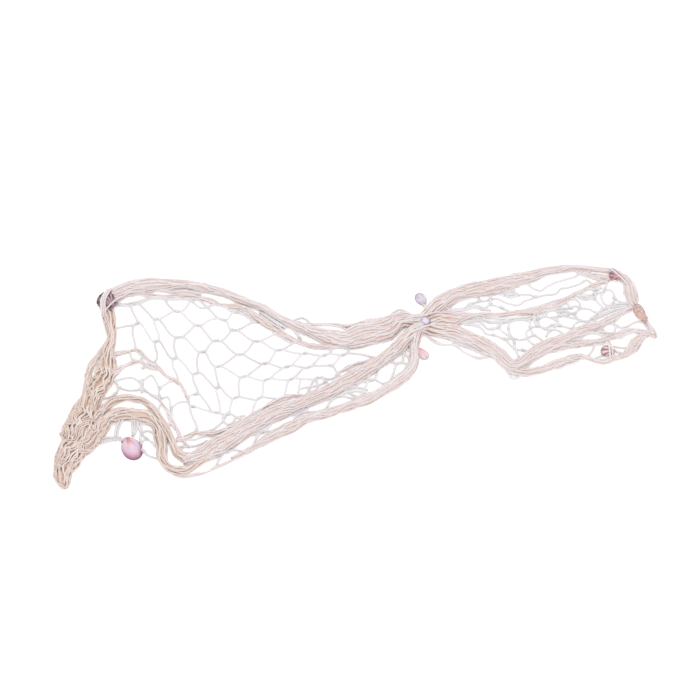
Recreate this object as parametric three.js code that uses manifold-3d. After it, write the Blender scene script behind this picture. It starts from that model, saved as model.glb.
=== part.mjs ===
// Decorative fishing net: one piece of knotted cotton twine with eight sea shells fixed on it,
// gathered at a waist and laid on a level surface in an uneven hourglass. Millimetres, +Z up.
// +X runs along the hourglass from the wide wing to the narrow one, +Y across it.
import * as THREE from "three";
import Module from "manifold-3d";
import { mergeVertices } from "three/addons/utils/BufferGeometryUtils.js";

const wasm = await Module();
wasm.setup();

// Driving dimensions of the twine and its gathers
const TWINE = 3; // thickness of the cotton twine
const KNOT_HEIGHT = 5; // a knot stands about two twines high
const KNOT_SPREAD = 1.25; // a knot's width, as a share of the twines that meet in it
const BAR_WIDTH = 3.4; // width of a bar of the open web where it lies on the surface
const MESH_BAR = 40; // twine from knot to knot
const MOST_BOW = 6; // the furthest that a slack bar bends aside
const FOLD_STEP = 34; // length of one lofted step of a gathered fold
const STRAP_SHOULDER = { share: 0.3, drop: 3 }; // where a twine over a shell levels out
const LOOSE_STEP = 14; // length of one step of a loose twine
const RIDGE_PITCH = 5.6; // width of a ridge of bunched twines on a fold
const RIDGE_DEPTH = 0.2; // depth of the grooves between ridges, as a share of the fold's half width
const RIDGE_LAY = 120; // length in which the ridges of a fold drift by one pitch
const LUMPINESS = 0.1; // uneven swelling along a fold, as a share of its size
const LUMP_LENGTH = 38; // length of one such swelling
const SIGHT_SHIFT = 0.26; // a fold's foot lies this share of its height below the place read for it
const FOOT_WIDTH = 0.94; // width of a fold where it rests, as a share of its full width
const ARCH_POINTS = { least: 3, most: 6 }; // points over the arch of a fold's cross-section
const TIP = { height: 0.4, reach: 0.5 }; // a fold's rounded end, as shares of its height and half width
const WELL_INSIDE = 0.5; // a place this share of the width from a fold's middle is inside it
const FOOTPRINT_STEP = 6; // spacing of the places that stand for a fold's footprint
const BOW_SHARE = 0.25; // how far a bar bends aside, as a share of its slack
const SEAT_GAP = 0.5; // clearance between a shell and the twine round it
const CENTRE = { x: 4.04, y: -1.5 }; // the middle of the laid net, which becomes the origin

// Turns rows of numbers into rows with named columns.
function table(columns, rows) {
  const names = columns.split(" ");
  return rows.map((row) => Object.fromEntries(names.map((name, k) => [name, row[k]])));
}

// Gathered folds: the runs where the net's rows lie bunched side by side and on each other.
// Each row is one cross-section on the way along the fold.
const FOLD_COLUMNS = "x y width height";
const FOLDS = {
  topEdge: table(FOLD_COLUMNS, [
    [-400, 140, 22, 9],
    [-379, 153, 29, 12],
    [-346, 165, 27, 13],
    [-280, 168, 19, 13],
    [-216, 155, 17, 13],
    [-184, 141, 15, 13],
    [-151, 127, 14, 13],
    [-120, 106, 16, 14],
    [-72, 81, 26, 15],
    [-40, 72, 29, 15],
    [-14, 69, 38, 15],
    [12, 78, 46, 16],
    [48, 87, 37, 16],
    [72, 103, 29, 18],
    [105, 104, 24, 20],
    [130, 128, 27, 18],
    [155, 146, 28, 16],
    [184, 158, 29, 15],
    [216, 163, 30, 14],
    [248, 172, 27, 13],
    [280, 182, 24, 12],
    [312, 193, 17, 12],
    [360, 197, 11, 10],
    [395, 194, 11, 10],
    [418, 189, 13, 9],
    [435, 175, 15, 10],
  ]),
  topUnderFold: table(FOLD_COLUMNS, [
    [-5, 58, 10, 8],
    [-53, 56, 12, 8],
    [-88, 65, 11, 8],
    [-120, 81, 13, 8],
    [-152, 104, 15, 9],
    [-184, 126, 12, 8],
    [-216, 131, 9, 7],
    [-248, 142, 9, 7],
    [-283, 148, 8, 6],
    [-320, 144, 8, 6],
    [-344, 151, 8, 6],
    [-364, 156, 7, 6],
  ]),
  leftEnd: table(FOLD_COLUMNS, [
    [-400, 144, 20, 9],
    [-397, 124, 24, 11],
    [-392, 101, 20, 13],
    [-389, 77, 17, 13],
    [-393, 49, 20, 14],
    [-396, 23, 29, 15],
    [-402, -2, 36, 16],
    [-416, -27, 34, 20],
    [-429, -56, 42, 24],
    [-437, -85, 54, 29],
    [-442, -111, 54, 31],
    [-455, -136, 46, 28],
    [-463, -161, 31, 21],
    [-464, -178, 28, 17],
    [-462, -190, 21, 13],
    [-460, -198, 11, 8],
  ]),
  leftEndOuter: table(FOLD_COLUMNS, [
    [-391, 76, 6, 6],
    [-401, 55, 9, 8],
    [-414, 34, 10, 8],
    [-424, 13, 12, 9],
    [-427, -13, 13, 11],
    [-431, -42, 13, 12],
  ]),
  humpOuter: table(FOLD_COLUMNS, [
    [-458, -132, 24, 22],
    [-436, -121, 34, 25],
    [-414, -102, 31, 22],
    [-398, -79, 23, 17],
    [-376, -66, 24, 14],
    [-352, -66, 25, 13],
    [-328, -73, 24, 13],
    [-312, -92, 21, 13],
    [-308, -117, 19, 13],
    [-307, -142, 17, 12],
    [-296, -160, 15, 12],
    [-272, -165, 14, 12],
    [-250, -155, 11, 9],
    [-228, -143, 9, 8],
    [-204, -130, 8, 7],
  ]),
  humpInner: table(FOLD_COLUMNS, [
    [-415, -76, 17, 16],
    [-402, -59, 16, 15],
    [-386, -43, 13, 12],
    [-363, -36, 11, 10],
    [-341, -40, 11, 10],
    [-325, -52, 12, 11],
    [-314, -68, 15, 12],
    [-301, -92, 15, 12],
    [-291, -115, 14, 12],
    [-282, -135, 15, 12],
    [-264, -148, 16, 12],
  ]),
  lowerInner: table(FOLD_COLUMNS, [
    [-274, -149, 16, 12],
    [-248, -138, 27, 14],
    [-216, -120, 33, 16],
    [-176, -93, 30, 16],
    [-136, -67, 29, 16],
    [-88, -47, 23, 16],
    [-40, -23, 25, 15],
    [-8, -2, 26, 15],
    [27, 20, 24, 16],
    [59, 45, 24, 18],
    [82, 70, 24, 20],
    [103, 90, 22, 20],
    [130, 86, 24, 16],
    [155, 82, 27, 14],
    [181, 72, 28, 14],
    [208, 58, 27, 13],
    [232, 41, 24, 13],
    [250, 22, 23, 13],
    [267, 27, 22, 13],
    [285, 43, 24, 13],
    [307, 57, 27, 13],
    [331, 67, 23, 12],
    [360, 82, 20, 11],
    [389, 94, 16, 10],
    [411, 106, 14, 9],
    [429, 118, 12, 8],
    [446, 128, 9, 7],
  ]),
  lowerOuter: table(FOLD_COLUMNS, [
    [-197, -145, 7, 6],
    [-180, -136, 9, 7],
    [-158, -122, 12, 9],
    [-140, -110, 18, 11],
    [-110, -92, 20, 12],
    [-79, -75, 17, 12],
    [-38, -61, 16, 12],
    [-16, -52, 14, 11],
    [24, -36, 19, 12],
    [59, -13, 19, 13],
    [86, 11, 19, 13],
    [94, 34, 17, 13],
    [95, 61, 19, 15],
    [104, 88, 20, 18],
    [132, 103, 34, 15],
    [152, 104, 34, 11],
    [172, 107, 20, 9],
    [192, 111, 13, 8],
    [232, 112, 10, 7],
    [264, 117, 13, 7],
    [291, 120, 19, 7],
    [315, 132, 13, 6],
    [339, 141, 11, 6],
    [360, 153, 10, 6],
    [384, 166, 10, 6],
    [405, 175, 7, 6],
    [424, 182, 7, 6],
  ]),
  lowerShoulder: table(FOLD_COLUMNS, [
    [-284, -112, 8, 6],
    [-268, -108, 9, 7],
    [-253, -99, 9, 7],
    [-224, -101, 11, 8],
    [-203, -92, 11, 8],
    [-176, -76, 9, 7],
    [-152, -61, 9, 7],
    [-130, -44, 9, 7],
    [-104, -34, 9, 7],
    [-80, -35, 9, 7],
    [-66, -38, 8, 7],
  ]),
  humpShoulder: table(FOLD_COLUMNS, [
    [-315, -36, 6, 5],
    [-301, -56, 7, 6],
    [-292, -74, 7, 6],
    [-283, -95, 7, 6],
    [-275, -112, 7, 6],
    [-263, -125, 7, 6],
  ]),
  lowestRun: table(FOLD_COLUMNS, [
    [-304, -155, 6, 6],
    [-293, -169, 6, 5],
    [-274, -177, 6, 5],
    [-248, -173, 6, 5],
    [-216, -160, 6, 5],
    [-184, -142, 6, 5],
    [-155, -124, 7, 6],
    [-128, -108, 8, 6],
  ]),
  webFold: table(FOLD_COLUMNS, [
    [-393, 40, 14, 9],
    [-366, 45, 9, 6],
    [-346, 49, 7, 5],
    [-330, 32, 6, 5],
    [-315, 18, 8, 6],
    [-299, 0, 7, 5],
    [-283, -9, 9, 6],
    [-272, -27, 6, 5],
    [-266, -43, 5, 5],
  ]),
  webFoldLower: table(FOLD_COLUMNS, [
    [-390, 4, 17, 10],
    [-377, 15, 12, 8],
    [-362, 23, 9, 6],
    [-346, 29, 5, 5],
    [-331, 18, 6, 5],
    [-317, 14, 6, 5],
  ]),
  webRun: table(FOLD_COLUMNS, [
    [-31, 4, 6, 5],
    [-12, 13, 8, 6],
    [5, 23, 8, 6],
    [20, 30, 6, 6],
  ]),
  rightEnd: table(FOLD_COLUMNS, [
    [421, 187, 10, 8],
    [437, 173, 18, 11],
    [442, 153, 21, 11],
    [445, 133, 17, 10],
    [458, 115, 11, 8],
    [470, 94, 8, 7],
    [478, 81, 10, 7],
    [481, 71, 9, 6],
  ]),
  bottomRight: table(FOLD_COLUMNS, [
    [479, 77, 8, 7],
    [466, 77, 13, 9],
    [451, 65, 18, 10],
    [440, 50, 17, 10],
    [432, 40, 12, 9],
    [414, 33, 10, 7],
    [395, 26, 8, 6],
    [379, 32, 9, 7],
    [360, 38, 12, 8],
    [341, 32, 16, 9],
    [317, 23, 16, 9],
    [293, 13, 15, 9],
    [267, 9, 17, 9],
    [245, 13, 13, 9],
  ]),
  rightBranch: table(FOLD_COLUMNS, [
    [309, 50, 13, 9],
    [336, 56, 13, 8],
    [363, 60, 12, 8],
    [387, 64, 11, 7],
    [411, 71, 10, 6],
    [428, 77, 7, 6],
  ]),
  cornerBranch: table(FOLD_COLUMNS, [
    [388, 82, 6, 6],
    [411, 77, 9, 7],
    [427, 79, 8, 6],
    [446, 84, 10, 6],
    [466, 80, 12, 7],
  ]),
  strayRun: table(FOLD_COLUMNS, [
    [112, 78, 6, 6],
    [126, 63, 5, 5],
    [141, 58, 4, 4],
    [158, 58, 5, 5],
    [174, 45, 4, 4],
    [194, 36, 4, 4],
    [220, 37, 5, 5],
  ]),
  cornerRun: table(FOLD_COLUMNS, [
    [358, 187, 6, 5],
    [380, 184, 10, 6],
    [402, 179, 12, 7],
    [421, 180, 8, 6],
  ]),
};

// The open web of the wide wing, knot by knot. Columns and rows count along the net's own slant, so a
// bar runs from a knot to the next column's knot one row up or one row down, as bars says.
const WIDE_WEB = table("column row x y bars", [
  [-3, -1, -384, 86, "down"],
  [-3, 1, -352, 50, "up"],
  [-2, -2, -384, 128, "down"],
  [-2, 0, -349, 95, "both"],
  [-2, 2, -320, 25, "up"],
  [-1, -1, -352, 130, "both"],
  [-1, 1, -318, 63, "both"],
  [-1, 3, -283, -7, "up"],
  [-1, 5, -269, -36, "both"],
  [-1, 7, -253, -97, "up"],
  [0, -2, -312, 143, "down"],
  [0, 0, -318, 103, "both"],
  [0, 2, -288, 32, "both"],
  [0, 4, -254, -32, "both"],
  [0, 6, -258, -54, "up"],
  [1, -1, -285, 117, "both"],
  [1, 1, -280, 70, "both"],
  [1, 3, -254, 5, "both"],
  [1, 5, -221, -65, "both"],
  [2, -2, -258, 139, "down"],
  [2, 0, -250, 91, "both"],
  [2, 2, -243, 44, "both"],
  [2, 4, -219, -20, "both"],
  [2, 6, -203, -68, "both"],
  [3, -3, -213, 129, "down"],
  [3, -1, -209, 101, "both"],
  [3, 1, -221, 64, "both"],
  [3, 3, -218, 18, "both"],
  [3, 5, -190, -38, "both"],
  [3, 7, -173, -76, "up"],
  [4, -2, -189, 115, "both"],
  [4, 0, -194, 83, "both"],
  [4, 2, -184, 39, "both"],
  [4, 4, -178, -1, "both"],
  [4, 6, -154, -40, "both"],
  [5, -3, -168, 113, "end"],
  [5, -1, -155, 97, "end"],
  [5, 1, -157, 63, "both"],
  [5, 3, -144, 23, "both"],
  [5, 5, -142, -6, "both"],
  [5, 7, -118, -38, "up"],
  [6, 0, -123, 79, "end"],
  [6, 2, -122, 47, "both"],
  [6, 4, -109, 17, "both"],
  [6, 6, -102, -5, "both"],
  [6, 8, -82, -38, "up"],
  [7, 1, -93, 62, "end"],
  [7, 3, -80, 41, "down"],
  [7, 5, -75, 16, "both"],
  [7, 7, -61, -3, "down"],
  [8, 4, -48, 38, "both"],
  [8, 6, -40, 19, "both"],
  [8, 8, -40, -20, "end"],
  [9, 3, -34, 55, "end"],
  [9, 5, -18, 39, "both"],
  [9, 7, -21, -2, "end"],
  [10, 4, -6, 56, "end"],
  [10, 6, 38, 33, "end"],
]);

// The other open webs: panels of meshes stretched between two folds. A row gives where one column of
// knots starts, at the panel's upper fold, and where it ends, at its lower one.
const WEB_COLUMNS = "column topX topY bottomX bottomY";
const WEBS = {
  leftLower: {
    rows: 2,
    scatter: 2,
    guides: table(WEB_COLUMNS, [
      [0, -232, -136, -226, -166],
      [3, -150, -90, -146, -114],
      [6, -58, -42, -56, -62],
      [9, 27, 10, 27, -28],
      [12, 84, 56, 94, 20],
    ]),
  },
  rightUpper: {
    rows: 4,
    scatter: 2,
    guides: table(WEB_COLUMNS, [
      [0, 156, 136, 158, 110],
      [3, 246, 164, 246, 116],
      [6, 332, 188, 330, 138],
      [9, 414, 188, 406, 168],
    ]),
  },
  rightMiddle: {
    rows: 5,
    scatter: 2.5,
    guides: table(WEB_COLUMNS, [
      [0, 166, 102, 170, 76],
      [3, 232, 112, 238, 42],
      [6, 316, 132, 322, 60],
      [8, 372, 158, 384, 90],
      [10, 446, 160, 432, 116],
    ]),
  },
  rightLower: {
    rows: 3,
    scatter: 2,
    guides: table(WEB_COLUMNS, [
      [0, 292, 44, 290, 14],
      [2, 350, 74, 346, 36],
      [4, 394, 92, 390, 32],
      [6, 430, 112, 428, 44],
      [7, 456, 112, 452, 70],
    ]),
  },
};

// Loose twines that hang off the folds, each from a start over a middle to an end.
const LOOSE_COLUMNS = "x1 y1 z1 x2 y2 z2 x3 y3 z3";
const LOOSE_TWINES = table(LOOSE_COLUMNS, [
  [-416, -121, 3, -392, -113, 2, -364, -115, 4], // edge twine, out to the round clam
  [-371, -76, 4, -379, -95, 2, -381, -113, 2],
  [-350, -74, 4, -349, -90, 3, -352, -104, 3], // doubled twine over the round clam
  [-346, -74, 4, -341, -97, 2, -340, -119, 2],
  [-341, -101, 2, -330, -97, 2, -314, -108, 3],
  [-340, -118, 2, -331, -111, 2, -311, -134, 3],
  [-337, -133, 2, -327, -142, 2, -308, -149, 3],
  [-378, 129, 3, -356, 133, 2, -326, 142, 3], // twines under the top fold by the corner
  [-330, 141, 3, -300, 139, 2, -262, 139, 3],
  [-262, 136, 3, -246, 123, 2, -224, 130, 3], // a slack loop under it
  [-103, 97, 5, -84, 105, 3, -68, 87, 5], // slack loops over the top fold
  [-80, 89, 5, -46, 96, 3, -8, 84, 6],
  [240, 12, 4, 252, -4, 2, 272, 4, 4],
  [-456, -106, 6, -470, -102, 4, -462, -114, 6],
  [118, 108, 8, 115, 119, 5, 109, 131, 3], // twine to the pale clam
  [-388, -10, 3, -358, -2, 2, -341, -11, 2], // small meshes over the hump
  [-377, -20, 2, -360, -25, 2, -341, -23, 2],
  [-384, -8, 3, -378, -22, 2, -400, -40, 4],
  [-341, -8, 2, -338, -17, 2, -341, -27, 2],
  [-341, -11, 2, -325, 2, 2, -312, -22, 2],
  [-313, -22, 2, -303, -14, 2, -291, -7, 3],
  [-341, -21, 2, -326, -31, 2, -308, -39, 2],
  [-312, -20, 2, -313, -30, 2, -308, -40, 2],
  [-310, -38, 2, -298, -37, 2, -293, -58, 2],
  [-294, -56, 2, -282, -47, 2, -265, -45, 3],
  [-293, -55, 2, -291, -70, 2, -297, -88, 3],
  [-309, -38, 2, -310, -48, 2, -315, -66, 3],
  [-342, 46, 3, -341, 33, 2, -346, 26, 3],
  [-203, -67, 2, -214, -84, 2, -231, -98, 3],
  [243, 68, 2, 253, 60, 2, 257, 40, 3], // a doubled bar in the narrow web
]);

// Twines that cross over a shell and hold it down.
const HOLDING_TWINES = table(LOOSE_COLUMNS, [
  [-393, 156, 6, -403.5, 129, 21.5, -402, 104, 8],
  [-371, 141, 6, -387, 126, 20.5, -404, 108, 9],
  [76, 98, 10, 108, 97, 28.5, 138, 112, 9],
  [84, 69, 10, 110, 80, 25.5, 136, 90, 9],
  [408, 191, 9, 421.5, 176, 19.5, 436, 163, 10],
  [402, 62, 4, 407, 46, 15.5, 409, 30, 5],
]);

// The shells: half shells that lie hollow side down. turn is the way that the beak points, tilt and
// roll lean the shell about its own axes, pinch narrows it towards the beak, and rib is the height of a
// rib above the grooves beside it.
const SHELL_COLUMNS =
  "name kind x y z length width height pinch rib turn tilt roll colour roughness";
const SHELLS = table(SHELL_COLUMNS, [
  ["scallop_corner", "scallop", -397, 132, 9.5, 33, 35, 8, 0.75, 0.7, -40, 0, 4, 0x5c3440, 0.55],
  ["clam_round", "clam", -355, -128.5, 0.5, 42, 33.5, 13, 0.08, 0, 117, 0, 0, 0xd8a0b4, 0.3],
  ["clam_pale", "clam", 106, 139.4, 0.6, 25, 19, 8, 0.3, 0, -62, 0, 0, 0xd2cadb, 0.4],
  ["clam_waist", "clam", 113.4, 90.7, 17.8, 15, 15, 6, 0.3, 0, 160, 0, 0, 0xc2bcd6, 0.35],
  ["cockle_pink", "cockle", 108.5, 41, 0.5, 23, 18, 8, 0.35, 0.6, 128, 0, 0, 0xe2b0b4, 0.5],
  ["scallop_end", "scallop", 418, 178, 8.5, 21, 20, 7, 0.75, 0.7, -52, 8, 0, 0x8e3d42, 0.5],
  ["scallop_edge", "scallop", 457, 110, 10.5, 34, 24, 8, 0.75, 0.7, -52, 0, 52, 0xd2a48e, 0.55],
  ["scallop_striped", "scallop", 404, 44, 4.6, 23, 23, 7, 0.75, 0.7, -14, 0, 0, 0xb06a6c, 0.5],
]);

// Proportions that every shell shares
const SHELL_RINGS = [0.25, 0.5, 0.78, 1]; // shares of the way from the beak to the margin
const SHELL_SPOKES = 26; // points round a shell's margin
const SEAT_SPOKES = 14; // points round the seat that a shell has in the twine
const BEAK_INSET = 0.12; // how far inside the outline the beak sits, as a share of the length
const BEAK_RISE = 0.62; // height of the beak, as a share of the dome
const FULLNESS = 2.9; // how steeply the dome rises from the beak
const PINCH_SWELL = 0.12; // how much a pinched shell widens below its beak
const ROOF_SETBACK = 0.3; // the hollow's deepest point, from the beak, as a share of the length
const MARGIN_EDGE = 0.5; // height of the blunt edge round a shell's margin
const HOLLOW_DEPTH = 0.3; // depth of the hollow underneath, as a share of the dome
const HOLLOW_SIZE = 0.72; // width of that hollow, as a share of the shell
const EAR = { width: 0.56, foot: 0.4, depth: 0.16, thickness: 1.6, inset: 0.3 }; // a scallop's two ears

// A repeatable scatter from -1 to 1 for a pair of whole numbers.
function scatter(a, b) {
  const wave = Math.sin(a * 12.9898 + b * 78.233 + 4.137) * 43758.5453;
  return 2 * (wave - Math.floor(wave)) - 1;
}

// A smooth, uneven swelling from about -1 to 1 along a fold.
function swelling(length, seed) {
  const phase = (2 * Math.PI * length) / LUMP_LENGTH;
  return 0.6 * Math.sin(phase + seed) + 0.4 * Math.sin(0.41 * phase + 2.3 * seed);
}

// The value of one column of a table, smoothly between its rows, at a place along another column.
function smooth(rows, by, name, at) {
  const last = rows.length - 2;
  let k = 0;
  while (k < last && at > rows[k + 1][by]) k += 1;
  const slope = (m) => {
    const before = rows[Math.max(0, m - 1)];
    const after = rows[Math.min(rows.length - 1, m + 1)];
    return (after[name] - before[name]) / (after[by] - before[by]);
  };
  const span = rows[k + 1][by] - rows[k][by];
  const t = (at - rows[k][by]) / span;
  const ease = t * t * (3 - 2 * t);
  const lift = span * t * (1 - t);
  return (
    rows[k][name] * (1 - ease) +
    rows[k + 1][name] * ease +
    lift * ((1 - t) * slope(k) - t * slope(k + 1))
  );
}

// A closed triangle mesh as a solid that can be joined and cut.
function toSolid(geometry) {
  const bare = new THREE.BufferGeometry();
  bare.setAttribute("position", geometry.getAttribute("position"));
  bare.setIndex(geometry.index);
  const merged = mergeVertices(bare, 1e-4);
  return new wasm.Manifold(
    new wasm.Mesh({
      numProp: 3,
      vertProperties: merged.getAttribute("position").array,
      triVerts: new Uint32Array(merged.index.array),
    }),
  );
}

// A solid as a geometry that a mesh can show.
function toGeometry(solid) {
  const { vertProperties, triVerts } = solid.getMesh();
  const geometry = new THREE.BufferGeometry();
  geometry.setAttribute("position", new THREE.BufferAttribute(vertProperties, 3));
  geometry.setIndex(new THREE.BufferAttribute(triVerts, 1));
  const flat = geometry.toNonIndexed();
  flat.computeVertexNormals();
  return flat;
}

// A geometry from a list of points and a list of triangles.
function meshOf(points, triangles) {
  const geometry = new THREE.BufferGeometry();
  const places = points.flatMap((p) => [p.x, p.y, p.z]);
  geometry.setAttribute("position", new THREE.Float32BufferAttribute(places, 3));
  geometry.setIndex(triangles.flat());
  return geometry;
}

// A fold's table with the distance along the fold added to each row.
function measured(rows) {
  let along = 0;
  return rows.map((row, k) => {
    if (k > 0) along += Math.hypot(row.x - rows[k - 1].x, row.y - rows[k - 1].y);
    return { ...row, y: row.y - SIGHT_SHIFT * row.height, along };
  });
}

// One cross-section of a fold: an arch of bunched twines, flat where it lies on the surface.
function foldSection(rows, along, seed) {
  const at = (name) => smooth(rows, "along", name, along);
  const ahead = Math.min(along + 1, rows.at(-1).along);
  const behind = Math.max(along - 1, 0);
  const heading = new THREE.Vector2(
    smooth(rows, "along", "x", ahead) - smooth(rows, "along", "x", behind),
    smooth(rows, "along", "y", ahead) - smooth(rows, "along", "y", behind),
  ).normalize();
  const half = (at("width") / 2) * (1 + LUMPINESS * swelling(along, seed));
  const height = at("height") * (1 + LUMPINESS * swelling(along, seed + 1.7));
  const place = (across, up) =>
    new THREE.Vector3(at("x") - heading.y * across, at("y") + heading.x * across, up);
  const widest = Math.max(...rows.map((row) => row.width));
  const { least, most } = ARCH_POINTS;
  const arch = THREE.MathUtils.clamp(Math.round(widest / RIDGE_PITCH), least, most);
  const section = [place(-FOOT_WIDTH * half, 0)];
  for (let k = 0; k < arch; k += 1) {
    const angle = Math.PI * (1 - (k + 0.5) / arch);
    const groove = 0.5 - 0.5 * Math.cos(Math.PI * (k + (2 * along) / RIDGE_LAY));
    const reach = 1 - RIDGE_DEPTH * groove;
    section.push(place(half * reach * Math.cos(angle), height * reach * Math.sin(angle)));
  }
  section.push(place(FOOT_WIDTH * half, 0));
  return { section, heading, middle: place(0, TIP.height * height), half };
}

// A gathered fold lofted through its cross-sections, with rounded ends.
function foldSolid(rows, seed) {
  const run = measured(rows);
  const length = run.at(-1).along;
  const steps = Math.max(3, Math.round(length / FOLD_STEP));
  const rings = [];
  for (let k = 0; k <= steps; k += 1) rings.push(foldSection(run, (length * k) / steps, seed));
  const sides = rings[0].section.length;
  const points = rings.flatMap((ring) => ring.section);
  const triangles = [];
  for (let k = 0; k < steps; k += 1) {
    for (let m = 0; m < sides; m += 1) {
      const a = k * sides + m;
      const b = k * sides + ((m + 1) % sides);
      triangles.push([a, b + sides, b], [a, a + sides, b + sides]);
    }
  }
  [
    { ring: rings[0], first: 0, way: -1 },
    { ring: rings[steps], first: steps * sides, way: 1 },
  ].forEach(({ ring, first, way }) => {
    const reach = TIP.reach * ring.half * way;
    const tip = points.push(
      ring.middle.clone().add(new THREE.Vector3(ring.heading.x * reach, ring.heading.y * reach, 0)),
    );
    for (let m = 0; m < sides; m += 1) {
      const edge = [first + m, first + ((m + 1) % sides)];
      if (way > 0) edge.reverse();
      triangles.push([...edge, tip - 1]);
    }
  });
  return toSolid(meshOf(points, triangles));
}

// Whether a point of the plan lies well inside a gathered fold.
const FOOTPRINTS = Object.values(FOLDS).map((rows) => {
  const run = measured(rows);
  const count = Math.ceil(run.at(-1).along / FOOTPRINT_STEP);
  return Array.from({ length: count + 1 }, (_, k) => {
    const along = (run.at(-1).along * k) / count;
    const at = (name) => smooth(run, "along", name, along);
    return { x: at("x"), y: at("y"), reach: WELL_INSIDE * at("width") };
  });
});
function inFold(p) {
  return FOOTPRINTS.some((spots) => spots.some((s) => Math.hypot(p.x - s.x, p.y - s.y) < s.reach));
}

// The knots of a web panel. A knot sits where column and row add up to an even number.
function panelKnots({ rows, scatter: amount, guides }, seed) {
  const knots = new Map();
  const firstColumn = guides[0].column;
  const lastColumn = guides.at(-1).column;
  for (let i = firstColumn; i <= lastColumn; i += 1) {
    const at = (name) => smooth(guides, "column", name, i);
    for (let j = 0; j <= rows; j += 1) {
      if ((i + j) % 2 !== 0) continue;
      const share = j / rows;
      knots.set(`${i},${j}`, {
        x: at("topX") * (1 - share) + at("bottomX") * share + amount * scatter(i + seed, j),
        y: at("topY") * (1 - share) + at("bottomY") * share + amount * scatter(j - seed, i),
        leads: [-1, 1],
        ends: [],
      });
    }
  }
  return knots;
}

// The knots of the wide web, from its own table.
const BAR_STEPS = { up: [-1], down: [1], both: [-1, 1], end: [] };
function wideKnots() {
  const knot = ({ x, y, bars }) => ({ x, y, leads: BAR_STEPS[bars], ends: [] });
  return new Map(WIDE_WEB.map((row) => [`${row.column},${row.row}`, knot(row)]));
}

// The bars between the knots of a web, each bent aside by some of its slack.
function webBars(knots, seed) {
  const bars = [];
  knots.forEach((from, key) => {
    const [i, j] = key.split(",").map(Number);
    from.leads.forEach((step) => {
      const to = knots.get(`${i + 1},${j + step}`);
      if (!to) return;
      const span = Math.hypot(to.x - from.x, to.y - from.y);
      const slack = Math.sqrt(Math.max(0, MESH_BAR ** 2 - span ** 2));
      const bow = Math.min(MOST_BOW, BOW_SHARE * slack) * scatter(3 * i + seed, 5 * j + step);
      const middle = {
        x: (from.x + to.x) / 2 - ((to.y - from.y) / span) * bow,
        y: (from.y + to.y) / 2 + ((to.x - from.x) / span) * bow,
      };
      if (inFold(from) && inFold(to) && inFold(middle)) return;
      bars.push({ from, to, middle, across: { x: -(to.y - from.y) / span, y: (to.x - from.x) / span } });
    });
  });
  return bars;
}

// A web panel as one solid: three-sided bars, each of two lengths, that meet at raised knots and lie
// flat on the surface.
function webSolid(knots, seed) {
  const points = [];
  const triangles = [];
  const point = (x, y, z) => points.push({ x, y, z }) - 1;
  const half = BAR_WIDTH / 2;
  webBars(knots, seed).forEach((bar) => {
    const { middle, across } = bar;
    bar.left = point(middle.x + across.x * half, middle.y + across.y * half, 0);
    bar.right = point(middle.x - across.x * half, middle.y - across.y * half, 0);
    bar.top = point(middle.x, middle.y, TWINE);
    const leave = (knot) => Math.atan2(middle.y - knot.y, middle.x - knot.x);
    bar.from.ends.push({ bar, angle: leave(bar.from), start: true });
    bar.to.ends.push({ bar, angle: leave(bar.to), start: false });
  });
  // Two triangles for a face whose corners go round anticlockwise as seen from outside.
  const quad = (a, b, c, d) => triangles.push([a, b, c], [a, c, d]);
  knots.forEach((knot) => {
    const ends = knot.ends.sort((a, b) => a.angle - b.angle);
    const count = ends.length;
    if (count === 0) return;
    const apex = point(knot.x, knot.y, KNOT_HEIGHT);
    const corner = (angle, reach) =>
      point(knot.x + reach * Math.cos(angle), knot.y + reach * Math.sin(angle), 0);
    const corners = ends.map((end, k) => {
      if (count === 1) return corner(end.angle + Math.PI / 2, half);
      const turn = (ends[(k + 1) % count].angle - end.angle + 2 * Math.PI) % (2 * Math.PI);
      const reach = KNOT_SPREAD * Math.min(half / Math.sin(turn / 2), 2 * BAR_WIDTH);
      return corner(end.angle + turn / 2, reach);
    });
    if (count === 1) corners.push(corner(ends[0].angle - Math.PI / 2, half));
    ends.forEach((end, k) => {
      const onLeft = corners[k];
      const onRight = corners[(k + corners.length - 1) % corners.length];
      const { bar } = end;
      const [left, right] = end.start ? [bar.left, bar.right] : [bar.right, bar.left];
      quad(onLeft, apex, bar.top, left);
      quad(onRight, right, bar.top, apex);
      quad(onLeft, left, right, onRight);
    });
    if (count === 1) triangles.push([corners[1], apex, corners[0]]);
    for (let k = 1; k + 1 < count; k += 1) triangles.push([corners[0], corners[k + 1], corners[k]]);
  });
  return toSolid(meshOf(points, triangles));
}

// A loose twine: a four-sided strand along a smooth curve. With a shoulder it rises steeply at both
// ends and passes over its middle like a strap.
function looseSolid(row, shoulder) {
  const half = TWINE / 2;
  const section = new THREE.Shape([
    new THREE.Vector2(half, half),
    new THREE.Vector2(-half, half),
    new THREE.Vector2(-half, -half),
    new THREE.Vector2(half, -half),
  ]);
  const start = new THREE.Vector3(row.x1, row.y1, Math.max(row.z1, half));
  const middle = new THREE.Vector3(row.x2, row.y2, Math.max(row.z2, half));
  const end = new THREE.Vector3(row.x3, row.y3, Math.max(row.z3, half));
  const strap = (from) =>
    from.clone().lerp(middle, STRAP_SHOULDER.share).setZ(middle.z - STRAP_SHOULDER.drop);
  const way = shoulder ? [start, strap(start), middle, strap(end), end] : [start, middle, end];
  const path = new THREE.CatmullRomCurve3(way);
  const steps = Math.max(3, Math.round(path.getLength() / LOOSE_STEP));
  return toSolid(new THREE.ExtrudeGeometry(section, { steps, bevelEnabled: false, extrudePath: path }));
}

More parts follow.
